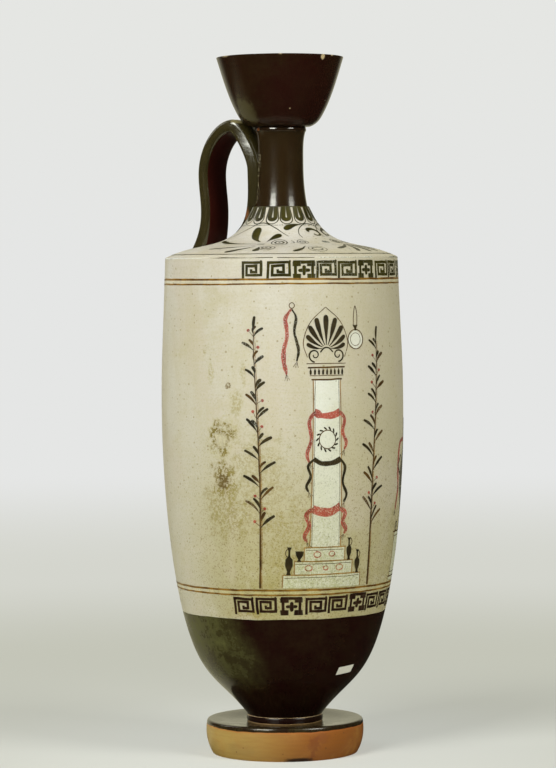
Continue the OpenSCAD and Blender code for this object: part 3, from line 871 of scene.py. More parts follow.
class Tree:
    """Short calls that add nodes to a node tree. A number or a colour is set, and a socket is linked."""

    def __init__(self, tree):
        self.tree = tree

    def node(self, kind, *values, out=0, **named):
        """A node's output. Plain values go to its sockets in turn, and named ones to a setting or socket."""
        made = self.tree.nodes.new(kind)
        for key, value in named.items():
            if hasattr(made, key):
                setattr(made, key, value)
            else:
                self.feed(made.inputs[key.replace("_", " ")], value)
        for socket, value in zip([s for s in made.inputs if s.enabled], values):
            if value is not None:
                self.feed(socket, value)
        return made.outputs[out]

    def feed(self, socket, value):
        if isinstance(value, bpy.types.NodeSocket):
            self.tree.links.new(value, socket)
        else:
            socket.default_value = value

    def place(self):
        """Object coordinates, which are metres from the pot's axis and resting plane."""
        return self.node("ShaderNodeTexCoord", out="Object")

    def mapped(self, scale=(1, 1, 1), shift=(0, 0, 0)):
        """Object coordinates scaled and moved, so that a noise on them is drawn out or a fresh one."""
        return self.node("ShaderNodeMapping", self.place(), Scale=scale, Location=shift)

    def noise(self, vector, scale, detail=3.0, rough=0.5, warp=0.0):
        return self.node("ShaderNodeTexNoise", Vector=vector, Scale=scale, Detail=detail, Roughness=rough,
                         Distortion=warp)

    def calc(self, operation, a, b=0.0, clamp=False):
        return self.node("ShaderNodeMath", a, b, operation=operation, use_clamp=clamp)

    def times(self, a, b, clamp=False):
        return self.calc("MULTIPLY", a, b, clamp)

    def plus(self, a, b, clamp=False):
        return self.calc("ADD", a, b, clamp)

    def minus(self, a, b):
        return self.calc("SUBTRACT", a, b)

    def span(self, value, low, high, to_low=0.0, to_high=1.0):
        """The value carried from low..high to to_low..to_high with a smooth step, and held beyond them."""
        return self.node("ShaderNodeMapRange", value, low, high, to_low, to_high,
                         interpolation_type="SMOOTHSTEP")

    def blend(self, share, a, b, mode="MIX"):
        """Colour a with a share of colour b over it."""
        made = self.tree.nodes.new("ShaderNodeMix")
        made.data_type, made.blend_type = "RGBA", mode
        for key, value in ((0, share), (6, a), (7, b)):
            self.feed(made.inputs[key], value)
        return made.outputs[2]

    def toward(self, deg):
        """How far out a place is in the direction of an angle on the pot."""
        way = (math.sin(math.radians(deg)), -math.cos(math.radians(deg)), 0.0)
        return self.node("ShaderNodeVectorMath", self.place(), way, operation="DOT_PRODUCT", out="Value")

    def height(self):
        """The z of Object coordinates."""
        return self.node("ShaderNodeSeparateXYZ", self.place(), out="Z")

    def group(self, name, out, **named):
        """One output of a shared node group, with its own values for the group's inputs."""
        made = self.tree.nodes.new("ShaderNodeGroup")
        made.node_tree = bpy.data.node_groups[name]
        for key, value in named.items():
            self.feed(made.inputs[key.replace("_", " ")], value)
        return made.outputs[out]


def new_group(name, takes, gives):
    """An empty node group with named sockets. Returns its tree, the sockets it takes and those it gives."""
    tree = bpy.data.node_groups.new(name, "ShaderNodeTree")
    kinds = {"value": "NodeSocketFloat", "colour": "NodeSocketColor", "vector": "NodeSocketVector"}
    for key, (kind, value) in takes.items():
        socket = tree.interface.new_socket(key, in_out="INPUT", socket_type=kinds[kind])
        socket.default_value = value
    for key, kind in gives.items():
        tree.interface.new_socket(key, in_out="OUTPUT", socket_type=kinds[kind])
    inside = tree.nodes.new("NodeGroupInput").outputs
    outside = tree.nodes.new("NodeGroupOutput").inputs
    return Tree(tree), inside, outside


def make_flecks():
    """Small round spots scattered at random: 1 in a spot, 0 elsewhere. Share is how many cells have one."""
    takes = {"Scale": ("value", 300.0), "Share": ("value", 0.1), "Size": ("value", 0.2)}
    t, takes, gives = new_group("flecks", takes, {"Mask": "value"})
    cell = t.tree.nodes.new("ShaderNodeTexVoronoi")
    t.feed(cell.inputs["Vector"], t.place())
    t.feed(cell.inputs["Scale"], takes["Scale"])
    chance = t.node("ShaderNodeSeparateColor", cell.outputs["Color"], out="Green")
    picked = t.calc("LESS_THAN", chance, takes["Share"])
    size = t.times(takes["Size"], t.node("ShaderNodeSeparateColor", cell.outputs["Color"], out="Blue"))
    near = t.calc("LESS_THAN", cell.outputs["Distance"], size)
    t.feed(gives["Mask"], t.times(picked, near))


def make_blot():
    """A ragged patch round a place: 1 in its middle and 0 beyond its edge."""
    takes = {"Place": ("vector", (0, 0, 0)), "Size": ("vector", (0.01, 0.01, 0.01)),
             "Ragged": ("value", 0.5), "Grain": ("value", 120.0)}
    t, takes, gives = new_group("blot", takes, {"Mask": "value"})
    away = t.node("ShaderNodeVectorMath", t.place(), takes["Place"], operation="SUBTRACT")
    scaled = t.node("ShaderNodeVectorMath", away, takes["Size"], operation="DIVIDE")
    far = t.node("ShaderNodeVectorMath", scaled, operation="LENGTH", out="Value")
    rough = t.minus(t.noise(t.place(), takes["Grain"], 4.0, 0.6), 0.5)
    ragged = t.plus(far, t.times(rough, t.times(takes["Ragged"], 4.0)))
    t.feed(gives["Mask"], t.span(ragged, 1.25, 0.55))


GLAZE_Z = 78.45  # where the wall's white ground ends and the glaze begins
CLAY_Z = 16.0  # where the foot's bare side ends
SURFACE = {"Color": "colour", "Roughness": "value", "Height": "value"}  # what a surface's group gives

# Stains on the white ground in the order they are laid: place in mm, size in mm, share, tint, raggedness
STAINS = (
    ((-65.9, -3.2, 174.0), (9.0, 9.0, 12.0), 0.5, (172, 168, 96), 0.6),
    ((-65.9, -3.2, 175.2), (6.8, 6.8, 8.0), 1.5, (84, 86, 16), 0.6),
    ((-65.9, -3.0, 174.8), (4.0, 4.0, 4.6), 1.4, (208, 204, 178), 0.6),
    ((-65.0, -3.4, 153.0), (7.0, 7.0, 10.0), 1.2, (88, 88, 26), 0.6),
    ((-65.6, -7.4, 203.2), (1.6, 1.6, 1.4), 1.5, (96, 94, 82), 0.6),
    ((-65.0, -12.1, 193.7), (3.5, 3.5, 7.0), 0.6, (150, 146, 84), 0.6),
    ((-66.0, 3.7, 211.3), (2.0, 2.0, 6.0), 0.5, (160, 156, 96), 0.6),
    ((-64.3, -15.7, 209.7), (1.6, 1.6, 6.0), 0.5, (150, 146, 88), 0.6),
    ((-65.7, 7.7, 221.5), (1.6, 1.6, 3.0), 0.6, (150, 146, 88), 0.6),
    ((-64.0, -4.0, 138.0), (13.0, 13.0, 16.0), 0.7, (134, 132, 74), 0.6),
    ((-60.0, -22.0, 150.0), (18.0, 18.0, 30.0), 0.5, (146, 144, 86), 0.6),
    ((-50.0, -40.0, 120.0), (20.0, 20.0, 22.0), 0.6, (144, 141, 84), 0.6),
    ((-40.0, -50.0, 100.0), (30.0, 30.0, 14.0), 0.6, (146, 143, 82), 0.6),
    ((30.0, -57.0, 120.0), (26.0, 26.0, 26.0), 0.4, (144, 141, 84), 0.6),
    ((-54.1, -14.7, 83.0), (6.0, 6.0, 4.0), 0.8, (146, 140, 66), 0.6),
    ((-55.4, -7.9, 82.0), (9.0, 9.0, 2.4), 0.6, (150, 144, 76), 0.6),
    ((-65.0, -3.6, 152.6), (3.6, 3.6, 4.2), 2.6, (34, 42, 26), 0.6))


def make_slip():
    """The white ground: cream slip, greyer above and yellower below, mottled, stained and finely specked. The
    yellowing below is stain and also painted shade, as it is weaker on the camera's left where the brighter
    lamp stands, and a painted shade darkens and yellows the camera's right.
    """
    t, _, gives = new_group("white slip", {}, SURFACE)
    z = t.height()
    pale, cream, straw = linear(228, 228, 230), linear(218, 218, 212), linear(165, 165, 114)
    colour = t.blend(t.span(z, 0.300, 0.215), pale, cream)
    low = t.plus(z, t.times(t.noise(t.place(), 22, 3), 0.05))
    # Yellowing low down: partly stain, partly painted shade, as it fades on the camera's left, towards the
    # brighter lamp
    low_stain_and_shade = t.times(t.span(low, 0.235, 0.115), t.span(t.toward(-30), -0.005, 0.045, 0.2, 1.0))
    colour = t.blend(low_stain_and_shade, colour, straw)
    # Painted shade: the camera's right side, where the lamp is weaker, is made darker and yellower
    colour = t.blend(t.span(t.toward(25), 0.005, 0.060, 0.0, 0.5), colour, linear(196, 190, 150))
    cloud = t.noise(t.place(), 38, 5, 0.62, 0.4)
    colour = t.blend(t.span(cloud, 0.52, 0.72, 0, 0.5), colour, linear(188, 184, 148))
    cloud = t.noise(t.mapped(shift=(0.3, 0.1, 0.2)), 60, 5, 0.65)
    colour = t.blend(t.span(cloud, 0.55, 0.75, 0, 0.5), colour, linear(226, 224, 214))
    rosy = t.noise(t.mapped(scale=(1, 1, 0.6), shift=(0.7, 0.2, 0.1)), 30, 4, 0.62)
    colour = t.blend(t.span(rosy, 0.48, 0.62, 0, 0.5), colour, linear(212, 205, 196))
    wheel = t.noise(t.mapped(scale=(1, 1, 14)), 55, 3, 0.55)
    colour = t.blend(t.span(wheel, 0.35, 0.7, 0.0, 0.2), colour, linear(200, 196, 168))
    streaks = t.noise(t.mapped(scale=(1, 1, 0.22)), 75, 4, 0.6)
    colour = t.blend(t.span(streaks, 0.38, 0.70, 0.0, 0.4), colour, linear(198, 194, 168))
    fine = t.noise(t.place(), 900, 3, 0.7)
    colour = t.blend(t.span(fine, 0.3, 0.75, 0.0, 0.35), colour, linear(196, 192, 162))
    speckle = t.span(t.noise(t.place(), 700, 3, 0.75), 0.45, 0.56, 0.15, 1.0)
    colour = spotted(t, colour, STAINS, 190.0, speckle)
    pepper = t.span(t.noise(t.place(), 1050, 2, 0.8), 0.555, 0.64, 0.0, 0.8)
    pepper = t.times(pepper, t.plus(t.times(low_stain_and_shade, 0.8), 0.2))
    colour = t.blend(pepper, colour, linear(98, 97, 52))
    specks = t.group("flecks", "Mask", Scale=230.0, Share=0.06, Size=0.16)
    colour = t.blend(t.times(specks, 0.5), colour, linear(92, 80, 44))
    fine_specks = t.group("flecks", "Mask", Scale=520.0, Share=0.2, Size=0.34)
    colour = t.blend(t.times(fine_specks, 0.55), colour, linear(112, 106, 62))
    t.feed(gives["Color"], t.blend(1.0, colour, (0.97, 1.02, 1.0, 1.0), "MULTIPLY"))
    t.feed(gives["Roughness"], t.span(cloud, 0.3, 0.7, 0.44, 0.58))
    grain = t.plus(t.times(fine, 0.35), t.times(wheel, 0.8))
    t.feed(gives["Height"], t.minus(grain, t.times(specks, 0.8)))


def make_glaze():
    """Black slip glaze: deep maroon below, browner above, thinner in faint streaks, with a few pale flecks.
    Worn is the share of dull olive rubbing, and Rough its plain roughness."""
    t, takes, gives = new_group("black glaze", {"Worn": ("value", 0.1), "Rough": ("value", 0.12)}, SURFACE)
    streak = t.noise(t.mapped(scale=(1, 1, 7)), 70, 3, 0.5, 0.3)
    cloud = t.noise(t.place(), 45, 3, 0.5)
    above = t.span(t.height(), 0.09, 0.28)
    colour = t.blend(above, linear(24, 2, 5), linear(31, 12, 6))
    thinner = t.blend(above, linear(28, 5, 6), linear(36, 16, 8))
    colour = t.blend(t.span(streak, 0.35, 0.7, 0, 0.4), colour, thinner)
    cloudy = t.blend(above, linear(32, 9, 7), linear(44, 32, 12))
    colour = t.blend(t.span(cloud, 0.5, 0.75, 0, 0.3), colour, cloudy)
    rub = t.times(t.span(t.noise(t.place(), 75, 6, 0.72), 0.30, 0.72, 0.25, 1.0), takes["Worn"])
    rub = t.times(rub, t.span(t.noise(t.place(), 620, 3, 0.7), 0.2, 0.6, 0.55, 1.0))
    colour = t.blend(rub, colour, linear(106, 108, 56))
    flecks = t.group("flecks", "Mask", Scale=230.0, Share=0.03, Size=0.13)
    colour = t.blend(t.times(flecks, 0.8), colour, linear(170, 160, 130))
    t.feed(gives["Color"], colour)
    rough = t.plus(takes["Rough"], t.span(cloud, 0.3, 0.7, -0.02, 0.04))
    rough = t.plus(rough, t.times(rub, 0.6))
    t.feed(gives["Roughness"], t.plus(rough, t.times(flecks, 0.3), clamp=True))
    bumps = t.plus(t.times(streak, 0.8), t.times(t.noise(t.place(), 500, 2), 0.25))
    t.feed(gives["Height"], t.plus(bumps, t.times(flecks, 0.5)))


def material(name, parts, bump_mm, specular):
    """A finished material: a Principled shader whose colour, roughness and bump come from the parts."""
    made = bpy.data.materials.new(name)
    made.use_nodes = True
    tree = made.node_tree
    tree.nodes.clear()
    t = Tree(tree)
    shader = tree.nodes.new("ShaderNodeBsdfPrincipled")
    shader.inputs["Specular IOR Level"].default_value = specular
    shader.inputs["Specular Tint"].default_value = (0.97, 0.98, 0.88, 1.0)
    colour, rough, height = parts(t)
    t.feed(shader.inputs["Base Color"], colour)
    t.feed(shader.inputs["Roughness"], rough)
    bump = t.node("ShaderNodeBump", Strength=1.0, Distance=bump_mm * MM, Height=height, out="Normal")
    t.feed(shader.inputs["Normal"], bump)
    tree.links.new(shader.outputs[0], tree.nodes.new("ShaderNodeOutputMaterial").inputs[0])
    return made


def slip_parts(t):
    """The white ground's colour, roughness and height."""
    return [t.group("white slip", key) for key in SURFACE]


def glaze_parts(t, worn, rough=0.12):
    """The black glaze's colour, roughness and height."""
    return [t.group("black glaze", key, Worn=worn, Rough=rough) for key in SURFACE]


def spotted(t, colour, spots, grain=300.0, speckle=1.0):
    """The colour with ragged patches on it, each given as (place in mm, size in mm, share, tint, raggedness).
    speckle breaks them up. A share over 1 leaves less of the patch's soft edge."""
    for place, size, share, tint, ragged in spots:
        mask = t.group("blot", "Mask", Place=[v * MM for v in place], Size=[v * MM for v in size],
                       Ragged=ragged, Grain=grain)
        colour = t.blend(t.times(t.times(mask, speckle), share, clamp=True), colour, linear(*tint))
    return colour


def pot_finish():
    """White ground over the wall and black glaze under it, with the painter's slightly unsteady edge. Low on
    the left the glaze is rubbed, and this olive rubbing is also a painted sheen that stands in for a
    reflection; it reaches further round as it rises."""
    def parts(t):
        z = t.height()
        edge = t.times(t.minus(t.noise(t.place(), 40, 2), 0.5), 0.0012)
        black = t.span(t.plus(z, edge), (GLAZE_Z + 0.1) * MM, (GLAZE_Z - 0.1) * MM)
        lean = t.times(t.minus(z, 0.055), 0.55)
        # Wear and painted reflection: the olive rubbing low on the camera's left also stands in for a sheen
        # there
        left = t.span(t.minus(t.toward(-125), lean), 0.025, 0.041, 0.0, 0.6)
        worn = t.plus(t.times(left, t.span(z, 0.030, 0.060)), 0.05)
        slip, glaze = slip_parts(t), glaze_parts(t, worn)
        colour = t.blend(black, slip[0], glaze[0])
        rim = t.times(t.span(z, (GLAZE_Z - 0.45) * MM, (GLAZE_Z - 0.05) * MM), t.minus(1.0, black))
        colour = t.blend(t.times(rim, 0.4), colour, linear(150, 120, 60))
        rough = t.node("ShaderNodeMix", black, slip[1], glaze[1])
        height = t.node("ShaderNodeMix", black, slip[2], t.plus(glaze[2], 1.0))
        return colour, rough, height
    return material("white ground and glaze", parts, bump_mm=0.05, specular=0.2)


def glaze_finish(name, worn, specular, rough, spots=()):
    """Black glaze as it is on one piece, with its chips and tints."""
    def parts(t):
        colour, shine, height = glaze_parts(t, worn, rough)
        return spotted(t, colour, spots), shine, height
    return material(name, parts, 0.05, specular)


def crackle_finish():
    """Black glaze that has crawled and crackled, so that pale clay shows in grains."""
    def parts(t):
        colour, shine = glaze_parts(t, 0.1, 0.2)[:2]
        grain = t.noise(t.place(), 760, 3, 0.8)
        colour = t.blend(t.span(grain, 0.53, 0.62, 0.0, 0.85), colour, linear(158, 152, 118))
        return colour, shine, grain
    return material("crackled edge", parts, bump_mm=0.3, specular=0.8)


def foot_finish():
    """Bare orange clay below an unsteady edge, a little brighter next to it, and black glaze over it. The
    clay is painted paler on the camera's left, where the brighter lamp stands, and deeper orange on its
    right, as light and shade.
    """
    def parts(t):
        z = t.height()
        shift = t.times(t.minus(t.noise(t.place(), 60, 3), 0.5), 0.0016)
        black = t.span(t.plus(z, shift), CLAY_Z * MM, (CLAY_Z + 0.35) * MM)
        # Painted light and shade: paler towards the camera's left, deeper orange towards its right
        clay = t.blend(t.span(t.toward(32), -0.035, 0.02), linear(166, 138, 70), linear(142, 84, 25))
        wheel = t.noise(t.mapped(scale=(1, 1, 9)), 90, 4, 0.6)
        clay = t.blend(t.span(wheel, 0.35, 0.7, 0, 0.2), clay, linear(122, 74, 26))
        cloud = t.noise(t.place(), 85, 4, 0.65)
        clay = t.blend(t.span(cloud, 0.5, 0.72, 0, 0.5), clay, linear(168, 118, 48))
        clay = spotted(t, clay, (
            ((-25.0, -34.0, 8.5), (3.2, 3.2, 7.5), 0.6, (118, 60, 24), 0.6),
            ((-21.0, -37.0, 12.5), (5.0, 4.0, 3.0), 0.4, (124, 68, 34), 0.6),
            ((-30.5, -27.5, 0.6), (8.5, 8.5, 1.7), 0.95, (44, 24, 14), 0.2),
            ((-42.0, 2.0, 6.0), (4.0, 8.0, 4.0), 0.4, (146, 118, 62), 0.35)))
        flecks = t.group("flecks", "Mask", Scale=420.0, Share=0.12, Size=0.26)
        clay = t.blend(t.times(flecks, 0.55), clay, linear(96, 56, 26))
        seam = t.times(t.span(t.plus(z, shift), (CLAY_Z - 1.0) * MM, (CLAY_Z - 0.1) * MM), 0.5)
        clay = t.blend(seam, clay, linear(176, 96, 38))
        glaze = glaze_parts(t, 0.16)
        colour = t.blend(black, clay, glaze[0])
        rough = t.node("ShaderNodeMix", black, t.span(cloud, 0.3, 0.7, 0.36, 0.52), glaze[1])
        height = t.node("ShaderNodeMix", black, wheel, glaze[2])
        return colour, rough, height
    return material("bare clay and glaze", parts, bump_mm=0.08, specular=0.5)


def paint_finish(name, dark, light, strength=0.95, rough=0.4, dilute=0.4):
    """Brush paint over the white ground. Its body varies from dark to light with the brush's load, it is thin
    at the stroke's edges, and it has flaked off in specks, where the ground shows."""
    def parts(t):
        stroke = t.node("ShaderNodeUVMap", uv_map="stroke")
        tone = t.node("ShaderNodeSeparateXYZ", stroke, out="X")
        across = t.calc("ABSOLUTE", t.node("ShaderNodeSeparateXYZ", stroke, out="Y"))
        load = t.noise(t.place(), 130, 3, 0.6)
        colour = t.blend(t.span(load, 0.5 - dilute / 2, 0.5 + dilute / 2), linear(*dark), linear(*light))
        fine = t.noise(t.place(), 1500, 3, 0.75)
        kept = t.span(t.plus(fine, t.times(tone, 0.75)), 0.80, 1.05)
        thin = t.span(across, 0.75, 1.0, 1.0, 0.82)
        share = t.times(t.times(kept, thin), strength)
        slip = slip_parts(t)
        return t.blend(share, slip[0], colour), t.node("ShaderNodeMix", share, slip[1], rough), slip[2]
    return material(name, parts, bump_mm=0.04, specular=0.2)


def tag_finish():
    """Blank paper of one even tint, with a faint grain."""
    def parts(t):
        grain = t.noise(t.place(), 900, 3, 0.7)
        colour = t.blend(t.span(grain, 0.3, 0.7, 0, 0.15), linear(222, 220, 204), linear(150, 140, 112))
        return colour, 0.6, grain
    return material("blank paper tag", parts, bump_mm=0.02, specular=0.3)


def dress(piece, *finishes):
    """Gives a piece its materials. Each face keeps the one it was given when it was made."""
    kind = np.zeros(len(piece.data.polygons), np.int32)
    piece.data.polygons.foreach_get("material_index", kind)
    piece.data.materials.clear()
    for finish in finishes:
        piece.data.materials.append(finish)
    piece.data.polygons.foreach_set("material_index", kind)


# The stage

VIEW_AZ, VIEW_DIST, EYE_Z = -58.0, 1704.3, 264.5  # camera, in degrees and mm
FOCAL_PX = 3115.0  # focal length in the photograph's pixels
FRAME_W, FRAME_H = 556, 768
HORIZON_Y, AXIS_X, ROLL = 269.4, 282.3, -0.45  # pixel rows and columns, and degrees
DIM_ROOM = 0.05  # how bright the room in front of the pot is in its gloss, of the paper's own shade


def make_camera():
    """A camera at the photograph's place: level with the shoulder, looking slightly down, rolled a little."""
    az = math.radians(VIEW_AZ)
    right = Vector((math.cos(az), math.sin(az), 0))
    ahead = Vector((-math.sin(az), math.cos(az), 0))
    up = Vector((0, 0, 1))
    yaw = math.atan((AXIS_X - FRAME_W / 2) / FOCAL_PX)
    pitch = math.atan((FRAME_H / 2 - HORIZON_Y) / FOCAL_PX)
    turned_ahead = ahead * math.cos(yaw) - right * math.sin(yaw)
    side = right * math.cos(yaw) + ahead * math.sin(yaw)
    look = turned_ahead * math.cos(pitch) - up * math.sin(pitch)
    top = up * math.cos(pitch) + turned_ahead * math.sin(pitch)
    roll = math.radians(ROLL)
    side, top = side * math.cos(roll) + top * math.sin(roll), top * math.cos(roll) - side * math.sin(roll)
    lens = bpy.data.cameras.new("camera")
    lens.sensor_width = 36
    lens.lens = FOCAL_PX / FRAME_H * lens.sensor_width
    lens.clip_start, lens.clip_end = 0.05, 50
    camera = bpy.data.objects.new("camera", lens)
    eye = Vector((math.sin(az), -math.cos(az), 0)) * VIEW_DIST + up * EYE_Z
    turn = Matrix((side, top, -look)).transposed().to_4x4()
    camera.matrix_world = Matrix.Translation(eye * MM) @ turn
    bpy.context.scene.collection.objects.link(camera)
    bpy.context.scene.camera = camera


def stage_finish(name, floor):
    """Pale paper. Away from the pot the camera and the gloss see it as it is painted, in rings whose shade
    follows their distance, though the gloss sees it yellower, a painted tint for the olive sheen of the
    glaze. The room in front of the pot is dim in its gloss. The floor near the pot is lit like any paper, so
    it keeps the shadow."""
    made = bpy.data.materials.new(name)
    made.use_nodes = True
    tree = made.node_tree
    tree.nodes.clear()
    t = Tree(tree)
    x = t.node("ShaderNodeSeparateXYZ", t.place(), out="X")
    y = t.node("ShaderNodeSeparateXYZ", t.place(), out="Y")
    far = t.calc("SQRT", t.plus(t.times(x, x), t.times(y, y)))
    shade = t.blend(t.span(far, 0.05, 0.24), linear(219, 221, 212), linear(196, 197, 184))
    shade = t.blend(t.span(far, 0.45, 1.0), shade, linear(212, 213, 205))
    shade = t.blend(t.span(far, 1.0, 2.4), shade, linear(229, 230, 229))
    shade = t.blend(t.span(t.height(), 0.2, 0.7), shade, linear(229, 230, 227))
    path = tree.nodes.new("ShaderNodeLightPath").outputs
    # Painted reflection tint: in the gloss the paper is yellower, which gives the glaze's reflections an
    # olive colour
    shade = t.blend(t.times(path["Is Glossy Ray"], 0.75), shade, linear(206, 200, 158))
    dim_deg, dimmest, plain = (40, 0.85, 0.5) if floor else (5, 0.95, 0.72)
    behind = math.radians(VIEW_AZ + dim_deg)
    turned = t.node("ShaderNodeVectorMath", t.place(), (-math.sin(behind), math.cos(behind), 0.0),
                    operation="DOT_PRODUCT", out="Value")
    turned = t.calc("DIVIDE", turned, t.calc("MAXIMUM", far, 0.01))
    dim = t.times(path["Is Glossy Ray"], t.span(turned, dimmest, plain, 0.0, 1.0 - DIM_ROOM))
    glow = tree.nodes.new("ShaderNodeEmission")
    t.feed(glow.inputs["Color"], shade)
    t.feed(glow.inputs["Strength"], t.minus(1.0, dim))
    paper = tree.nodes.new("ShaderNodeBsdfDiffuse")
    t.feed(paper.inputs["Color"], linear(214, 215, 206))
    seen = t.plus(path["Is Camera Ray"], path["Is Glossy Ray"], clamp=True)
    seen = t.plus(seen, path["Is Transmission Ray"], clamp=True)
    near = t.span(far, 0.10, 0.45, 0.45, 1.0) if floor else 1.0
    share = t.times(seen, t.calc("MAXIMUM", path["Is Glossy Ray"], near))
    mix = tree.nodes.new("ShaderNodeMixShader")
    t.feed(mix.inputs[0], share)
    tree.links.new(paper.outputs[0], mix.inputs[1])
    tree.links.new(glow.outputs[0], mix.inputs[2])
    tree.links.new(mix.outputs[0], tree.nodes.new("ShaderNodeOutputMaterial").inputs[0])
    return made


def make_stage():
    """A round paper floor, and a round paper wall far behind it: both are outlines [r, z] in metres, turned
    round the axis."""
    bend = np.radians(np.linspace(0, 90, 13))
    foot_of_wall = np.column_stack([2.6 + 0.6 * np.sin(bend), 0.6 * (1 - np.cos(bend))])
    outlines = {
        "paper_floor": [[0.001, 0], [0.12, 0], [0.5, 0], [1.2, 0]],
        "paper_wall": np.vstack([[[1.2, 0]], foot_of_wall, [[3.2, 3.4]]])}
    a = np.linspace(0, 2 * math.pi, 96, endpoint=False)
    n = len(a)
    for name, outline in outlines.items():
        rings = [np.column_stack([r * np.sin(a), -r * np.cos(a), np.full(n, z)]) for r, z in outline]
        faces = np.vstack([ring_faces(i * n, (i + 1) * n, n) for i in range(len(outline) - 1)])
        mesh = bpy.data.meshes.new(name)
        mesh.from_pydata(np.vstack(rings), [], faces[:, ::-1].tolist())
        mesh.polygons.foreach_set("use_smooth", np.ones(len(mesh.polygons), bool))
        mesh.materials.append(stage_finish(name, name == "paper_floor"))
        paper = bpy.data.objects.new(name, mesh)
        bpy.context.scene.collection.objects.link(paper)
        if name == "paper_wall":
            paper.visible_diffuse = paper.visible_shadow = False


def make_lights():
    """Two soft boxes above and each side of the camera, a narrow one further left, and a dim room. Each box
    stands 1.6 m from the axis, turned so many degrees from the camera, and faces the pot's middle."""
    for name, turn, wide, tall, high, power in (
            ("left_box", -36, 0.75, 0.94, 1.22, 32.6), ("right_box", 50, 0.7, 0.95, 1.3, 22.0),
            ("side_strip", -112, 0.3, 0.95, 1.3, 4.0)):
        lamp = bpy.data.lights.new(name, "AREA")
        lamp.shape, lamp.size, lamp.size_y, lamp.energy = "RECTANGLE", wide, tall, power
        box = bpy.data.objects.new(name, lamp)
        az = math.radians(VIEW_AZ + turn)
        place = Vector((math.sin(az) * 1.6, -math.cos(az) * 1.6, high))
        box.location = place
        box.rotation_mode = "QUATERNION"
        box.rotation_quaternion = (place - Vector((0, 0, 0.19))).to_track_quat("Z", "Y")
        box.visible_camera = False
        bpy.context.scene.collection.objects.link(box)
    world = bpy.data.worlds.new("room")
    world.use_nodes = True
    room = world.node_tree.nodes["Background"]
    room.inputs["Color"].default_value = linear(236, 238, 232)
    room.inputs["Strength"].default_value = 0.25
    bpy.context.scene.world = world


# Everything in order

bpy.context.scene.view_settings.view_transform = "Standard"
make_camera()
make_stage()
make_lights()
for build in (make_flecks, make_blot, make_slip, make_glaze):
    build()

# Chips and tints of the glaze, with a painted sheen on the mouth and painted light on the strap's inner face:
# place in mm, size in mm, share, tint, raggedness
chip = (196, 176, 132)
rim_spots_and_sheen = (
    ((-14.0, -24.0, 358.0), (24.0, 24.0, 28.0), 0.5, (37, 8, 8), 0.2),
    ((-9.1, -33.2, 378.8), (1.4, 1.3, 1.7), 0.9, chip, 0.3),
    ((-29.0, -18.5, 380.0), (1.2, 1.2, 0.7), 0.5, chip, 0.3),
    ((-2.0, -34.3, 379.9), (1.3, 1.3, 0.6), 0.6, chip, 0.3),
    ((-30.9, 15.1, 379.8), (2.2, 5.0, 0.6), 0.4, chip, 0.4),
    ((12.5, 31.8, 379.6), (2.6, 2.2, 1.4), 0.9, chip, 0.2),
    ((-32.6, -8.4, 373.4), (0.4, 0.4, 0.4), 0.9, chip, 0.0),
    ((-31.6, 2.2, 361.8), (0.35, 0.35, 0.35), 0.9, chip, 0.0),
    ((-17.6, -17.2, 351.0), (0.4, 0.4, 0.4), 0.9, chip, 0.0),
    # Painted reflection: an olive sheen low on the mouth's left side
    ((-22.6, 7.9, 350.0), (7.0, 7.0, 10.0), 0.4, (84, 80, 48), 0.35))
bead_spot = (((-12.5, 6.4, 340.8), (1.3, 1.5, 1.1), 0.6, (132, 76, 40), 0.3),)
strap_spots = (
    ((0.0, 30.0, 310.0), (90.0, 90.0, 90.0), 0.44, (60, 58, 26), 0.0),
    ((-8.0, 21.5, 346.2), (3.6, 5.2, 1.8), 0.8, (146, 136, 92), 0.3),
    ((-8.6, 17.0, 293.0), (2.0, 2.8, 5.8), 0.6, (150, 92, 52), 0.35))
neck_tint = (((0.0, 0.0, 310.0), (90.0, 90.0, 90.0), 0.28, (46, 37, 10), 0.0),)
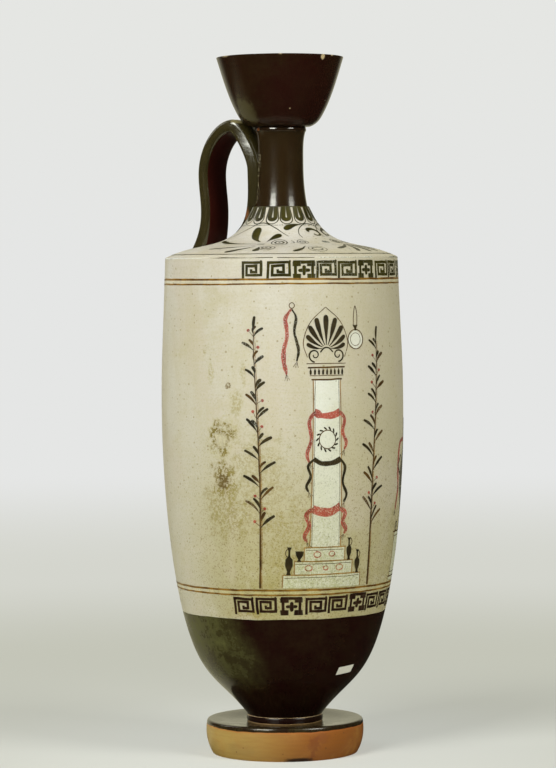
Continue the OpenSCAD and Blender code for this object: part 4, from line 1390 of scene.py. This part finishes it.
# The strap's inner face lies in shade: its maroon tint is partly the glaze's own colour and partly painted
# light that lifts the face
inner_tint_and_lift = (((0.0, 40.0, 300.0), (90.0, 90.0, 90.0), 0.55, (66, 22, 18), 0.0),)
pot = pot_finish()
dress(make_foot(), foot_finish())
dress(make_fillet(), glaze_finish("fillet glaze", worn=0.05, specular=0.25, rough=0.25))
dress(make_wall(), pot)
dress(make_shoulder(), pot)
dress(make_neck(), glaze_finish("neck glaze", worn=0.05, specular=0.7, rough=0.16, spots=neck_tint))
dress(make_mouth(),
      glaze_finish("mouth glaze", worn=0.04, specular=0.2, rough=0.18, spots=rim_spots_and_sheen),
      glaze_finish("bead glaze", worn=0.04, specular=1.0, rough=0.1, spots=bead_spot))
dress(make_handle(),
      glaze_finish("handle glaze", worn=0.08, specular=0.9, rough=0.14, spots=strap_spots),
      glaze_finish("handle glaze, inner face", worn=0.02, specular=0.05, rough=0.3, spots=inner_tint_and_lift))

olive_black = paint_finish("olive-black paint", (36, 32, 2), (62, 57, 14), strength=1.0)
brown_black = paint_finish("brown-black paint", (32, 13, 6), (52, 32, 14), strength=1.0)
brown = paint_finish("brown dilute paint", (88, 56, 12), (138, 102, 36), strength=1.0, dilute=0.3)
upper_keys = key_band("upper_key_band", start=-77.2, low=259.9, high=268.9, pitch=11.86, count=13,
                      pen=1.5, gap=1.3, seed=11, tones=(0.92, 1.0, 1.05, 0.8, 0.82))
dress(upper_keys, olive_black)
lower_keys = key_band("lower_key_band", start=-85.6, low=81.4, high=90.4, pitch=12.77, count=13,
                      pen=1.45, gap=1.25, seed=12, tones=(1.0,))
dress(lower_keys, brown_black)
brown_lines, gold_bands, edge_lines = make_lines()
dress(brown_lines, brown)
dress(gold_bands, paint_finish("golden band", (150, 124, 56), (186, 168, 112), strength=0.5, dilute=0.5))
dress(edge_lines, olive_black)
dress(make_tongues(), olive_black)
dress(make_shoulder_ornament(), olive_black)
bare_lines, luted_edge = make_joint_lines()
dress(bare_lines, paint_finish("bare clay line", (150, 118, 70), (176, 140, 90)))
dress(luted_edge, crackle_finish())
dress(make_tag(), tag_finish())
field_paints = {
    "white": paint_finish("white paint", (208, 206, 190), (216, 214, 200), strength=0.42, rough=0.5),
    "wash": paint_finish("golden wash", (112, 80, 28), (150, 114, 50), strength=0.9),
    "red": paint_finish("red paint", (126, 34, 24), (168, 66, 48), rough=0.55),
    "line": paint_finish("brown line paint", (56, 36, 12), (92, 66, 26), strength=1.0),
    "black": paint_finish("black line paint", (32, 26, 12), (56, 46, 22), strength=1.0)}
for key, piece in make_field().items():
    dress(piece, field_paints[key])
